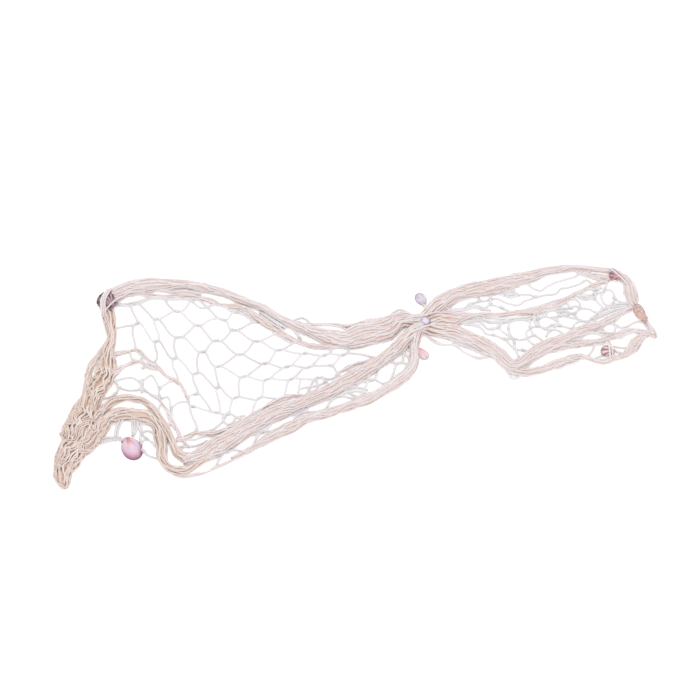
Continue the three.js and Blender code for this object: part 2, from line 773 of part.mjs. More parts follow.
// The margin of a shell at an angle round it, starting from the beak.
function shellMargin(shell, angle) {
  const pinch = Math.abs(Math.sin(angle / 2)) ** shell.pinch;
  const swell = 1 + PINCH_SWELL * shell.pinch;
  return new THREE.Vector2(
    ((shell.width * swell) / 2) * Math.sin(angle) * pinch,
    (shell.length / 2) * Math.cos(angle),
  );
}

// A half shell: a dome of rings round the beak over a margin, with a hollow underneath. A hollow of
// zero leaves it solid, and grow widens it all round.
function halfShell(shell, hollow, grow, spokes) {
  const big = { ...shell, length: shell.length + 2 * grow, width: shell.width + 2 * grow };
  const beak = new THREE.Vector2(0, shell.length * (0.5 - BEAK_INSET));
  const dome = (q) =>
    BEAK_RISE + FULLNESS * (1 - BEAK_RISE) * q - (FULLNESS - (FULLNESS - 1) * BEAK_RISE) * q * q;
  const points = [{ x: beak.x, y: beak.y, z: dome(0) * shell.height + grow }];
  const triangles = [];
  const ring = (q, z, rib) => {
    for (let k = 0; k < spokes; k += 1) {
      const edge = shellMargin(big, (2 * Math.PI * (k + 0.5)) / spokes);
      points.push({
        x: beak.x + (edge.x - beak.x) * q,
        y: beak.y + (edge.y - beak.y) * q,
        z: z + (k % 2 ? rib : 0),
      });
    }
  };
  SHELL_RINGS.forEach((q) => ring(q, dome(q) * shell.height + grow, q < 1 ? shell.rib * q : 0));
  ring(1, -MARGIN_EDGE - grow, 0);
  if (hollow) ring(HOLLOW_SIZE, 0, 0);
  const roof = hollow ? hollow * shell.height : -MARGIN_EDGE - grow;
  points.push({ x: beak.x, y: beak.y - ROOF_SETBACK * shell.length, z: roof });
  const rings = (points.length - 2) / spokes;
  const last = 1 + (rings - 1) * spokes;
  for (let k = 0; k < spokes; k += 1) {
    const next = (k + 1) % spokes;
    triangles.push([0, 1 + next, 1 + k]);
    for (let m = 0; m + 1 < rings; m += 1) {
      const a = 1 + m * spokes + k;
      const b = 1 + m * spokes + next;
      triangles.push([a, b, b + spokes], [a, b + spokes, a + spokes]);
    }
    triangles.push([last + k, last + next, points.length - 1]);
  }
  return toSolid(meshOf(points, triangles));
}

// The two ears beside a scallop's beak: one flat plate, narrower at its foot.
function scallopEars(shell, grow) {
  const top = shell.length * 0.5 - EAR.inset + grow;
  const foot = shell.length * (0.5 - EAR.depth) - grow;
  const wide = (shell.width * EAR.width) / 2 + grow;
  const narrow = (shell.width * EAR.foot) / 2 + grow;
  const plate = new THREE.ExtrudeGeometry(
    new THREE.Shape([
      new THREE.Vector2(-wide, top),
      new THREE.Vector2(-narrow, foot),
      new THREE.Vector2(narrow, foot),
      new THREE.Vector2(wide, top),
    ]),
    { depth: EAR.thickness + 2 * grow, bevelEnabled: false },
  );
  return toSolid(plate.translate(0, 0, -grow));
}

// A whole shell in its own frame, beak towards +Y and dome up.
function shellSolid(shell) {
  const valve = halfShell(shell, HOLLOW_DEPTH, 0, SHELL_SPOKES);
  return shell.kind === "scallop" ? valve.add(scallopEars(shell, 0)) : valve;
}

// The seat of a shell: the space, a little larger than the shell, that the twine leaves for it.
function shellSeat(shell) {
  const corner = 1 / Math.cos(Math.PI / SEAT_SPOKES) - 1;
  const grow = SEAT_GAP + (corner * shell.length) / 2;
  const smoothed = { ...shell, height: shell.height + shell.rib, rib: 0 };
  const valve = halfShell(smoothed, 0, grow, SEAT_SPOKES);
  const seat = shell.kind === "scallop" ? valve.add(scallopEars(shell, grow)) : valve;
  return seat.transform(shellPlace(shell).elements);
}

// Where a shell lies on the net: leaned, then turned so that its beak points the way of turn.
function shellPlace(shell) {
  const turned = new THREE.Matrix4().makeRotationZ(THREE.MathUtils.degToRad(shell.turn - 90));
  const tilted = new THREE.Matrix4().makeRotationX(THREE.MathUtils.degToRad(shell.tilt));
  const rolled = new THREE.Matrix4().makeRotationY(THREE.MathUtils.degToRad(shell.roll));
  return new THREE.Matrix4()
    .makeTranslation(shell.x, shell.y, shell.z)
    .multiply(turned)
    .multiply(tilted)
    .multiply(rolled);
}

// The net: all folds, webs and twines in one piece, cut clear of each shell.
function netSolid() {
  const folds = Object.values(FOLDS).map((rows, k) => foldSolid(rows, k + 1));
  const webs = Object.values(WEBS).map((panel, k) => webSolid(panelKnots(panel, k + 1), k + 1));
  webs.push(webSolid(wideKnots(), 0));
  const twines = LOOSE_TWINES.map((row) => looseSolid(row, false));
  const seats = SHELLS.map(shellSeat);
  const body = wasm.Manifold.union([...folds, ...webs, ...twines]);
  const seated = wasm.Manifold.difference([body, ...seats]);
  const straps = HOLDING_TWINES.map((row) => looseSolid(row, true));
  return wasm.Manifold.union([seated, ...straps]);
}

function netMesh() {
  const cotton = new THREE.MeshStandardMaterial({ color: 0xe8d6c8, roughness: 0.9, metalness: 0 });
  const mesh = new THREE.Mesh(toGeometry(netSolid()), cotton);
  mesh.name = "net";
  return mesh;
}

function shellMesh(shell) {
  const finish = new THREE.MeshStandardMaterial({
    color: shell.colour,
    roughness: shell.roughness,
    metalness: 0,
  });
  const mesh = new THREE.Mesh(toGeometry(shellSolid(shell)), finish);
  mesh.name = shell.name;
  mesh.applyMatrix4(shellPlace(shell));
  return mesh;
}

const part = new THREE.Group();
part.add(netMesh());
SHELLS.forEach((shell) => part.add(shellMesh(shell)));
part.position.set(-CENTRE.x, -CENTRE.y, 0);

export default part;
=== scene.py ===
import math
from functools import partial

import bpy
import numpy as np
from mathutils import Matrix, Vector


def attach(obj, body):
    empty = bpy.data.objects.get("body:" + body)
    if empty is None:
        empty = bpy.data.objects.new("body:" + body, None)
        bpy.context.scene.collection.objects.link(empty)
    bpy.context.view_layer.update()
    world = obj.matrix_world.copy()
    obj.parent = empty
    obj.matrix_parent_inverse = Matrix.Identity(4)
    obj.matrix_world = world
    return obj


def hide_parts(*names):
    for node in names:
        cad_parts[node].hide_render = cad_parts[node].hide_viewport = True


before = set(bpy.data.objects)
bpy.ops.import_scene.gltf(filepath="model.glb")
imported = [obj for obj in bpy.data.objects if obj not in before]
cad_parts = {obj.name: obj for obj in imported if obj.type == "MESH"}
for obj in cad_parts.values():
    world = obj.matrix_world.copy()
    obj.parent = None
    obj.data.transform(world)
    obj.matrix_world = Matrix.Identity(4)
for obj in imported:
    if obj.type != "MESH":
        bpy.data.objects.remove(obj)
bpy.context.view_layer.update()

# Top edge of the net: its rows gathered into one long fold, from the upper left corner through the
# waist to the upper right corner, with a thinner fold under it on the wide side. The twine is undyed
# cotton of three plies, about 3 mm thick, knotted to its neighbours every 40 mm.

TWINE_RADIUS = 1.5  # in mm, as all sizes of the net and its shells
TWINE_SIDES = 6
TWINE_STEP = 3.5  # length of one step of a twine's mesh
TWINE_TIP = 0.6  # how far an end is rounded out, as a share of the radius
STEEP = 0.2  # a twine with less than this share of level run counts as upright
UPRIGHT_SIDE = (0.31, 0.95, 0.0)  # any level way, to start the round of an upright twine from
PLACE_UNIT = 10.0  # length of twine for one unit of its place along


def run_length(points):
    """How far along the way through the points each one lies."""
    return np.concatenate([[0.0], np.cumsum(np.linalg.norm(np.diff(points, axis=0), axis=1))])


def smooth(x, y, at):
    """Values y that are given at places x, smoothly between them, at other places."""
    at = np.asarray(at, float)
    slope = np.empty(len(x))
    for k in range(len(x)):
        a, b = max(0, k - 1), min(len(x) - 1, k + 1)
        slope[k] = (y[b] - y[a]) / (x[b] - x[a])
    k = np.clip(np.searchsorted(x, at, side="left") - 1, 0, len(x) - 2)
    span = x[k + 1] - x[k]
    t = (at - x[k]) / span
    ease = t * t * (3 - 2 * t)
    lift = span * t * (1 - t)
    return y[k] * (1 - ease) + y[k + 1] * ease + lift * ((1 - t) * slope[k] - t * slope[k + 1])


def waver(dice, places, longest=140.0, shortest=34.0, waves=4):
    """A smooth, uneven wave from about -1 to 1 along a twine."""
    total = np.zeros(len(places))
    for _ in range(waves):
        reach = shortest * (longest / shortest) ** dice.random()
        total += np.sin(2 * math.pi * (places / reach + dice.random())) / math.sqrt(waves)
    return total


def ring_steps(count, sides):
    """The ring number and the corner number of each quad of a tube."""
    k, m = np.meshgrid(np.arange(count - 1), np.arange(sides), indexing="ij")
    return k.ravel(), m.ravel()


def tube_faces(count, sides):
    """The faces of a closed tube of rings: quads between rings, and triangles to a tip at each end."""
    k, m = ring_steps(count, sides)
    a = k * sides + m
    b = k * sides + (m + 1) % sides
    quads = np.stack([a, b, b + sides, a + sides], axis=1)
    spin = np.arange(sides)
    after = (spin + 1) % sides
    last = (count - 1) * sides
    tips = np.vstack([
        np.stack([after, spin, np.full(sides, count * sides)], axis=1),
        np.stack([last + spin, last + after, np.full(sides, count * sides + 1)], axis=1),
    ])
    return quads, tips


def tube_places(along, sides, per_round):
    """Where each corner of a tube's faces lies along it and round it."""
    k, m = ring_steps(len(along), sides)
    u0, u1 = along[k] / PLACE_UNIT, along[k + 1] / PLACE_UNIT
    v0, v1 = m / per_round, (m + 1) / per_round
    quad_places = np.stack([u0, v0, u0, v1, u1, v1, u1, v0], axis=1).reshape(-1, 2)
    return quad_places, np.zeros((2 * sides * 3, 2))


def twine_mesh(points, radius=TWINE_RADIUS):
    """A round twine along points, closed at both ends: its corners, its faces and their places."""
    points = np.asarray(points, float)
    ahead = np.gradient(points, axis=0)
    ahead /= np.maximum(np.linalg.norm(ahead, axis=1, keepdims=True), 1e-9)
    beside = np.cross(ahead, (0.0, 0.0, 1.0))
    steep = np.linalg.norm(beside, axis=1) < STEEP
    beside[steep] = np.cross(ahead[steep], UPRIGHT_SIDE)
    for k in range(1, len(points)):
        if np.dot(beside[k], beside[k - 1]) < 0:
            beside[k] = -beside[k]
    beside /= np.linalg.norm(beside, axis=1, keepdims=True)
    above = np.cross(beside, ahead)
    turn = -2 * math.pi * np.arange(TWINE_SIDES) / TWINE_SIDES
    ring = (
        beside[:, None, :] * np.cos(turn)[None, :, None]
        + above[:, None, :] * np.sin(turn)[None, :, None]
    )
    corners = (points[:, None, :] + radius * ring).reshape(-1, 3)
    tip = radius * TWINE_TIP
    corners = np.vstack([corners, points[0] - ahead[0] * tip, points[-1] + ahead[-1] * tip])
    quads, tips = tube_faces(len(points), TWINE_SIDES)
    quad_places, tip_places = tube_places(run_length(points), TWINE_SIDES, TWINE_SIDES)
    return corners, quads, quad_places, tips, tip_places


KNOT_POINTS = 15
KNOT_LENGTH = 6.2
KNOT_HALF_WIDTH, KNOT_HALF_HEIGHT = 1.6, 1.3  # from a knot's middle to the middle of its wrapped twine


def knot_mesh(at, heading, dice, size, turns=1.9):
    """A netting knot: a twine wrapped about twice round the crossing, longer along the net."""
    heading = np.asarray(heading, float) / np.linalg.norm(heading)
    beside = np.cross((0.0, 0.0, 1.0), heading)
    beside /= max(np.linalg.norm(beside), 1e-9)
    above = np.cross(heading, beside)
    t = np.linspace(0.0, 1.0, KNOT_POINTS)
    turn = 2 * math.pi * (turns * t + dice.random())
    points = (
        np.asarray(at, float)
        + heading * ((t - 0.5) * KNOT_LENGTH * size)[:, None]
        + beside * (KNOT_HALF_WIDTH * size * np.cos(turn))[:, None]
        + above * (KNOT_HALF_HEIGHT * size * np.sin(turn))[:, None]
    )
    return twine_mesh(points)


MM = 0.001
PLAN_CENTRE = (4.04, -1.5)  # the middle of the laid net, in the plan that the tables use


def joined(name, parts, material):
    """Many meshes as one object in metres. Each comes with how deep in a fold it lies, and its shade."""
    corners, starts, loops, places, depths, shades = [], [], [], [], [], []
    base, loop_at = 0, 0
    for (points, quads, quad_places, tips, tip_places), depth, shade in parts:
        corners.append(points)
        depth = np.atleast_1d(depth)
        depth = np.repeat(depth, len(points) // len(depth))
        depths.append(np.append(depth, np.full(len(points) - len(depth), depth[-1])))
        shades.append(np.full(len(points), shade))
        for faces, spots, size in ((quads, quad_places, 4), (tips, tip_places, 3)):
            loops.append((faces + base).ravel())
            starts.append(loop_at + size * np.arange(len(faces)))
            places.append(spots)
            loop_at += size * len(faces)
        base += len(points)
    spots = (np.vstack(corners) - (*PLAN_CENTRE, 0.0)) * MM
    loops, starts, places = np.concatenate(loops), np.concatenate(starts), np.vstack(places)
    mesh = bpy.data.meshes.new(name)
    mesh.vertices.add(len(spots))
    mesh.vertices.foreach_set("co", spots.ravel())
    mesh.loops.add(len(loops))
    mesh.loops.foreach_set("vertex_index", loops.astype(np.int32))
    mesh.polygons.add(len(starts))
    mesh.polygons.foreach_set("loop_start", starts.astype(np.int32))
    mesh.polygons.foreach_set("use_smooth", np.ones(len(starts), bool))
    layer = mesh.uv_layers.new(name="along_and_round")
    layer.uv.foreach_set("vector", places.astype(np.float32).ravel())
    for label, values in (("depth", depths), ("shade", shades)):
        field = mesh.attributes.new(label, "FLOAT", "POINT")
        field.data.foreach_set("value", np.concatenate(values).astype(np.float32))
    mesh.update(calc_edges=True)
    mesh.validate()
    mesh.materials.append(material)
    piece = bpy.data.objects.new(name, mesh)
    bpy.context.scene.collection.objects.link(piece)
    return piece


SIGHT_SHIFT = 0.26  # a fold's foot lies this share of its height below the place read for it
FOLD_UNEVEN = 0.07  # how much a fold swells and thins on its way
LEAST_WIDTH, LEAST_HEIGHT = 3.4, 3.0
LEAST_REACH, LEAST_RISE = 0.5, 0.3  # what is left of a fold's arch for the deepest twine
LEAST_ARCH = (0.8, 0.6)


def fold_shape(rows, dice):
    """A gathered fold: its middle line, its heading, and its uneven width and height, step by step."""
    run = run_length(np.stack([rows["x"], rows["y"]], axis=1))
    along = np.linspace(0.0, run[-1], max(6, int(round(run[-1] / TWINE_STEP)) + 1))
    x = smooth(run, rows["x"], along)
    y = smooth(run, rows["y"] - SIGHT_SHIFT * rows["height"], along)
    ahead = np.stack([np.gradient(x), np.gradient(y)], axis=1)
    ahead /= np.linalg.norm(ahead, axis=1, keepdims=True)
    width = smooth(run, rows["width"], along) * (1 + FOLD_UNEVEN * waver(dice, along))
    height = smooth(run, rows["height"], along) * (1 + FOLD_UNEVEN * waver(dice, along))
    return {
        "along": along, "x": x, "y": y, "ahead_x": ahead[:, 0], "ahead_y": ahead[:, 1],
        "half": np.maximum(width, LEAST_WIDTH) / 2, "height": np.maximum(height, LEAST_HEIGHT),
    }


def on_fold(fold, along, turn, sink):
    """Points on a fold's arch: turn goes from 0 at its left foot to pi, sink is how deep below it."""
    at = {name: np.interp(along, fold["along"], fold[name]) for name in fold if name != "along"}
    reach = np.maximum(at["half"] - TWINE_RADIUS - sink, LEAST_REACH)
    rise = np.maximum(at["height"] - 2 * TWINE_RADIUS - sink, LEAST_RISE)
    across = reach * np.cos(turn)
    up = TWINE_RADIUS + rise * np.sin(turn)
    return np.stack([at["x"] - at["ahead_y"] * across, at["y"] + at["ahead_x"] * across, up], axis=1)


def arch_length(fold, sink=0.0):
    """The way over a fold from foot to foot, as half the girth of an ellipse."""
    a = np.maximum(fold["half"] - TWINE_RADIUS - sink, LEAST_ARCH[0])
    b = np.maximum(fold["height"] - 2 * TWINE_RADIUS - sink, LEAST_ARCH[1])
    return (math.pi / 2) * (3 * (a + b) - np.sqrt((3 * a + b) * (a + 3 * b)))


CORE_SIDES = 15
CORE_FOOT = 0.4  # from the surface to the core's feet
CORE_PER_ROUND = 4.0  # sides of the core for one round of plies


def fold_core(fold, sink):
    """The twines deep in a fold, which only show between those on top of them, drawn darker and warmer as
    painted shade.
    """
    count = len(fold["along"])
    turns = np.linspace(0.0, math.pi, CORE_SIDES)
    rings = np.stack([on_fold(fold, fold["along"], np.full(count, turn), sink) for turn in turns], axis=1)
    rings[:, 0, 2] = rings[:, -1, 2] = CORE_FOOT
    middle = rings.mean(axis=1)
    points = np.vstack([rings.reshape(-1, 3), middle[:1], middle[-1:]])
    quads, tips = tube_faces(count, CORE_SIDES)
    quad_places, tip_places = tube_places(fold["along"], CORE_SIDES, CORE_PER_ROUND)
    return points, quads, quad_places, tips, tip_places


MESH_BAR = 40.0  # twine from knot to knot
LAYER_DROP = 2.1  # from one layer of twines in a fold to the next
CRIMP_STEP = 2.2  # length of one step of a slack twine's mesh
CRIMP_LENGTH = (26, 32)  # from bend to bend of a slack twine
SLACK_HEIGHT = 11  # a fold's twines are slack where it is higher than this
DIVE_DEPTH = 2.4  # how far a twine sinks where the fold has no room for it
STEADY_TWINES = 2.5  # the first two in rank never dive
KNOT_DRIFT = 9.0  # how far the knots of a row stray along the fold
ROW_LEAN = 2.5  # how far a row's knots lag behind the last row's
LOOP_SHARE = 0.2  # share of the twines that stand up in a loop
LOOP_HALF = (9, 20)
LOOP_RISE = (1.0, 3.2)
FOOT_TURN = 0.03  # a twine lies no nearer to the foot of the arch than this turn
SWING_HOLD = 1.3  # above 1, neighbours stay parted for a while between their knots
CRIMP_LAG = 0.42  # how far a slack twine's bends lag behind its neighbour's
HIDDEN_SHARE = 0.05  # a twine ends where it has dived this far
KNOT_SHARE = 0.9  # two twines have a knot only where both lie on top
GATHERED_KNOT = (0.8, 1.05)  # how large a knot is drawn


def gathered_twines(fold, dice, layers, spacing=3.0, sway=0.46, stray=0.42, lift=0.3, crimp=0.0):
    """The twines that run along a fold, layer on layer, and the knots between neighbours. A twine dives
    under the others where the fold narrows, and neighbours part by sway between their knots. Stray and
    lift are how far a twine wanders and rises, and crimp how far a slack one meanders."""
    parts = []
    length = fold["along"][-1]
    along = np.linspace(0, length, int(length / (CRIMP_STEP if crimp else TWINE_STEP)) + 5)
    height = np.interp(along, fold["along"], fold["height"])
    slack = crimp * np.clip((height - SLACK_HEIGHT) / SLACK_HEIGHT, 0.12, 1)
    for layer in range(layers):
        sink = layer * LAYER_DROP
        arch = np.interp(along, fold["along"], arch_length(fold, sink))
        room = arch / spacing
        most = max(2, int(round(room.max())))
        rank = dice.permutation(most) + 0.5
        share = np.clip((room[None, :] - rank[:, None]) / 2.0 + 0.5, 0, 1)
        share[rank < STEADY_TWINES] = 1.0
        share = share * share * (3 - 2 * share)
        total = share.sum(axis=0)
        middle = (np.cumsum(share, axis=0) - share / 2) / total
        drift = KNOT_DRIFT * waver(dice, along, 260.0, 120.0, 2)
        lean = dice.uniform(-ROW_LEAN, ROW_LEAN)
        phase = dice.uniform(0, 2 * MESH_BAR)
        wave = 2 * math.pi * along / dice.uniform(*CRIMP_LENGTH) + 2.0 * waver(dice, along, 120.0, 60.0, 2)
        lines = []
        for m in range(most):
            beat = math.pi * (along + drift + phase + lean * m) / MESH_BAR
            swing = np.clip(SWING_HOLD * np.cos(beat), -1, 1) * (1 if m % 2 == 0 else -1)
            turn = math.pi * (middle[m] + (sway * swing + stray * waver(dice, along)) / total)
            stand = lift * waver(dice, along, 110.0, 26.0)
            if crimp:
                bend = np.sin(wave + CRIMP_LAG * m + 0.5 * waver(dice, along, 90.0, 40.0, 2))
                bend = bend * (0.75 + 0.25 * waver(dice, along, 160.0, 60.0, 2))
                turn = turn + math.pi * slack * bend / arch
                stand = stand + 0.3 * slack * waver(dice, along, 50.0, 20.0, 3)
            turn = np.clip(turn, FOOT_TURN, math.pi - FOOT_TURN)
            if dice.random() < LOOP_SHARE:
                spot, half = dice.uniform(0, length), dice.uniform(*LOOP_HALF)
                stand = stand + dice.uniform(*LOOP_RISE) * np.exp(-(((along - spot) / half) ** 2))
            line = on_fold(fold, along, turn, sink - stand + DIVE_DEPTH * (1 - share[m]))
            lines.append(line)
            # Painted shade: lower layers and twines that dive under the others are drawn darker and warmer.
            fold_shade = np.minimum(1.0, 0.5 * (layer + 1 - share[m]))
            inside = np.flatnonzero(share[m] > HIDDEN_SHARE)
            shade = dice.random()
            for stretch in np.split(inside, np.flatnonzero(np.diff(inside) > 1) + 1):
                if len(stretch) >= 4:
                    parts.append((twine_mesh(line[stretch]), fold_shade[stretch], shade))
        if layer > 0:
            continue
        for m in range(most - 1):
            for k in range(-2, int(length / MESH_BAR) + 6):
                if k % 2 != m % 2:
                    continue
                wanted = k * MESH_BAR - phase - lean * (m + 0.5)
                at = int(np.argmin(np.abs(along + drift - wanted)))
                if abs(along[at] + drift[at] - wanted) > TWINE_STEP or at < 1 or at > len(along) - 2:
                    continue
                if min(share[m][at], share[m + 1][at]) < KNOT_SHARE:
                    continue
                middle_point = (lines[m][at] + lines[m + 1][at]) / 2
                heading = lines[m][at + 1] - lines[m][at - 1]
                knot = knot_mesh(middle_point, heading, dice, dice.uniform(*GATHERED_KNOT))
                parts.append((knot, 0.0, dice.random()))
    return parts


EDGE_SPAN = (18.0, 40.0)  # how long a slack loop at a fold's foot is
EDGE_REACH = (1.0, 3.0)  # how far it bulges out
EDGE_SINK = 1.2  # how deep its ends lie in the fold
EDGE_TURN, EDGE_FALL = 0.5, 0.42  # how high up the arch they lie, and how far its middle falls


def edge_loops(fold, dice, count):
    """Slack twines that bulge out of a fold's foot and go back in."""
    parts = []
    for _ in range(count):
        long = dice.uniform(*EDGE_SPAN)
        start = dice.uniform(0, max(fold["along"][-1] - long, 1.0))
        t = np.linspace(0, 1, max(7, int(long / TWINE_STEP)))
        bulge = np.sin(math.pi * t) ** 0.8
        turn = EDGE_TURN - EDGE_FALL * bulge
        if dice.random() < 0.5:
            turn = math.pi - turn
        sink = EDGE_SINK - (EDGE_SINK + dice.uniform(*EDGE_REACH)) * bulge
        parts.append((twine_mesh(on_fold(fold, start + long * t, turn, sink)), 0.0, dice.random()))
    return parts


def start_finish(name, surface):
    """A new material with plain values for its shader, and the place that its mesh gives: X and Y."""
    material = bpy.data.materials.new(name)
    material.use_nodes = True
    tree = material.node_tree
    shader = tree.nodes["Principled BSDF"]
    for socket, value in surface.items():
        shader.inputs[socket].default_value = value
    place = tree.nodes.new("ShaderNodeUVMap")
    place.uv_map = "along_and_round"
    split = tree.nodes.new("ShaderNodeSeparateXYZ")
    tree.links.new(place.outputs["UV"], split.inputs[0])
    return material, tree, shader, split.outputs["X"], split.outputs["Y"]


def add_maths(tree, kind, *values):
    """A step of arithmetic in a finish, on numbers or on what other steps give."""
    node = tree.nodes.new("ShaderNodeMath")
    node.operation = kind
    for socket, value in zip(node.inputs, values):
        if isinstance(value, (int, float)):
            socket.default_value = value
        else:
            tree.links.new(value, socket)
    return node.outputs[0]


def add_mix(tree, kind, factor, first, second):
    """One colour laid over another."""
    node = tree.nodes.new("ShaderNodeMix")
    node.data_type = "RGBA"
    node.blend_type = kind
    tree.links.new(factor, node.inputs["Factor"])
    tree.links.new(first, node.inputs["A"])
    node.inputs["B"].default_value = (*second, 1)
    return node.outputs["Result"]


def add_noise(tree, scale, detail):
    """Soft blotches through the piece, from 0 to 1."""
    where = tree.nodes.new("ShaderNodeTexCoord")
    node = tree.nodes.new("ShaderNodeTexNoise")
    node.inputs["Scale"].default_value = scale
    node.inputs["Detail"].default_value = detail
    tree.links.new(where.outputs["Object"], node.inputs["Vector"])
    return node.outputs["Fac"]


def add_ramp(tree, value, tones):
    """Colours from the first tone to the last, each at its own value."""
    node = tree.nodes.new("ShaderNodeValToRGB")
    elements = node.color_ramp.elements
    while len(elements) < len(tones):
        elements.new(0.5)
    for element, (at, tone) in zip(elements, tones):
        element.position = at
        element.color = (*tone, 1)
    tree.links.new(value, node.inputs["Fac"])
    return node.outputs["Color"]


def add_bump(tree, shader, height, strength, distance):
    """Fine relief on the surface."""
    node = tree.nodes.new("ShaderNodeBump")
    node.inputs["Strength"].default_value = strength
    node.inputs["Distance"].default_value = distance
    tree.links.new(height, node.inputs["Height"])
    tree.links.new(node.outputs["Normal"], shader.inputs["Normal"])


SOFT_COTTON = {
    "Roughness": 0.92, "Specular IOR Level": 0.15, "Sheen Weight": 0.15, "Sheen Roughness": 0.5,
    "Subsurface Weight": 0.12, "Subsurface Radius": (1.0, 0.75, 0.6), "Subsurface Scale": 0.0012,
}
PLIES = 3
PLY_TURN = 8.4  # how fast the plies twist along the twine
PINCHED_TONE = (0.66, 0.55, 0.49)  # what the shade between tightly drawn twines leaves of their colour
GROOVE_TONE = (0.93, 0.87, 0.83)  # and what the shade between plies leaves
GROOVE_SHADE = 0.4
PATCH_SCALE, PATCH_SHARE = 38.0, 0.55  # paler and warmer patches of the net
OWN_SHARE = 0.45  # how much of a twine's tone is its own
DARK_AT, LIGHT_AT = 0.30, 0.72
FIBRE_SCALE, FIBRE_SHARE = 1600.0, 0.6
COTTON_RELIEF = (0.45, 0.0005)  # strength, and depth in metres


def cotton_twine(name, dark, light, deep):
    """Undyed cotton: cream, with painted warm shade down in the folds and between its plies, and with fine
    fibres.
    """
    material, tree, shader, along, round_twine = start_finish(name, SOFT_COTTON)
    maths = partial(add_maths, tree)
    depth, shade = (tree.nodes.new("ShaderNodeAttribute") for _ in range(2))
    depth.attribute_name, shade.attribute_name = "depth", "shade"
    depth, shade = depth.outputs["Fac"], shade.outputs["Fac"]
    plies = maths("MULTIPLY", round_twine, PLIES * 2 * math.pi)
    ply_turn = maths("ADD", plies, maths("MULTIPLY", along, PLY_TURN))
    ply = maths("ADD", maths("MULTIPLY", maths("SINE", ply_turn), 0.5), 0.5)
    patches = maths("MULTIPLY", add_noise(tree, PATCH_SCALE, 4.0), PATCH_SHARE)
    spread = maths("ADD", patches, maths("MULTIPLY", shade, OWN_SHARE))
    colour = add_ramp(tree, spread, ((DARK_AT, dark), (LIGHT_AT, light)))
    # Painted shade: the deeper a twine lies in a fold, the darker and warmer its colour, and darker still
    # where a fold is pinched.
    colour = add_mix(tree, "MULTIPLY", depth, colour, deep)
    colour = add_mix(tree, "MULTIPLY", maths("SUBTRACT", depth, 1.0), colour, PINCHED_TONE)
    # Painted shade in the grooves between the plies.
    groove = maths("MULTIPLY", maths("SUBTRACT", 1.0, ply), GROOVE_SHADE)
    colour = add_mix(tree, "MULTIPLY", groove, colour, GROOVE_TONE)
    tree.links.new(colour, shader.inputs["Base Color"])
    fibres = maths("MULTIPLY", add_noise(tree, FIBRE_SCALE, 3.0), FIBRE_SHARE)
    add_bump(tree, shader, maths("ADD", ply, fibres), *COTTON_RELIEF)
    return material


def net_piece(name, parts, material):
    """A piece of the net: it lies with the part's one body and stands for the plain solid of the net."""
    piece = joined(name, parts, material)
    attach(piece, "root")
    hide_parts("net")
    return piece


WAIST = (105.0, 92.0)  # where all the gathers are drawn together
PINCHED = 46.0  # how far from there the folds are pressed so tight that painted shade darkens them inside
fold_shapes = []


def dress_fold(rows, seed, edges, layers=1, core=0.6, ground=0.38, **how):
    """One fold's twines, knots, slack edge loops and core. Ground is how much painted shade darkens and warms
    the core.
    """
    dice = np.random.default_rng(seed)
    fold = fold_shape(rows, dice)
    fold_shapes.append(fold)
    parts = gathered_twines(fold, dice, layers, **how) + edge_loops(fold, dice, edges)
    pinch = np.exp(-((np.hypot(fold["x"] - WAIST[0], fold["y"] - WAIST[1]) / PINCHED) ** 2))
    # The core's painted shade grows towards the waist.
    return parts + [(fold_core(fold, core), ground + (2 - ground) * pinch, 0.5)]


FOLD_COLUMNS = ("x", "y", "width", "height")


def table(columns, rows):
    """Rows of numbers as named columns."""
    return {name: np.array([row[k] for row in rows], float) for k, name in enumerate(columns)}


TOP_EDGE = table(FOLD_COLUMNS, [
    (-400, 140, 22, 9), (-379, 153, 29, 12), (-346, 165, 27, 13), (-280, 168, 19, 13),
    (-216, 155, 17, 13), (-184, 141, 15, 13), (-151, 127, 14, 13), (-120, 106, 16, 14),
    (-72, 84, 20, 15), (-40, 73, 28, 15), (-14, 69, 38, 15), (12, 78, 46, 16), (48, 87, 37, 16),
    (72, 103, 29, 18), (105, 104, 24, 20), (130, 128, 27, 18), (155, 146, 28, 16), (184, 158, 29, 15),
    (216, 163, 30, 14), (248, 172, 27, 13), (280, 182, 24, 12), (312, 193, 17, 12), (360, 197, 11, 10),
    (395, 194, 11, 10), (418, 189, 13, 9), (435, 175, 15, 10),
])
TOP_UNDER_FOLD = table(FOLD_COLUMNS, [
    (-5, 58, 10, 8), (-53, 54, 10, 8), (-88, 62, 9, 8), (-120, 81, 13, 8), (-152, 104, 15, 9),
    (-184, 126, 12, 8), (-216, 131, 9, 7), (-248, 142, 9, 7), (-283, 148, 8, 6), (-320, 144, 8, 6),
    (-344, 151, 8, 6), (-364, 156, 7, 6),
])
TOP_CREST = table(FOLD_COLUMNS, [
    (-84, 93, 5, 5), (-62, 95, 6, 6), (-34, 95, 7, 7), (-10, 92, 9, 8), (16, 97, 13, 10),
    (42, 102, 14, 12), (64, 109, 13, 15), (82, 111, 11, 17), (98, 105, 9, 18),
])
fold_cotton = cotton_twine(
    "gathered_cotton", dark=(0.797, 0.695, 0.675), light=(0.845, 0.80, 0.825), deep=(0.90, 0.72, 0.625)
)
top_parts = dress_fold(TOP_EDGE, seed=101, edges=9)
top_parts += dress_fold(TOP_UNDER_FOLD, seed=102, edges=6, sway=0.6)
top_parts += dress_fold(TOP_CREST, seed=103, edges=3, sway=0.6)
net_top_edge = net_piece("net_top_edge", top_parts, fold_cotton)

# Wide end of the net: the rows fall into a heap at the lower left corner, with a hump beside it that
# runs round the hanging shell. It is the same knotted cotton, and the twines on top of the heap are
# slack and lie in loops, held only by their knots.

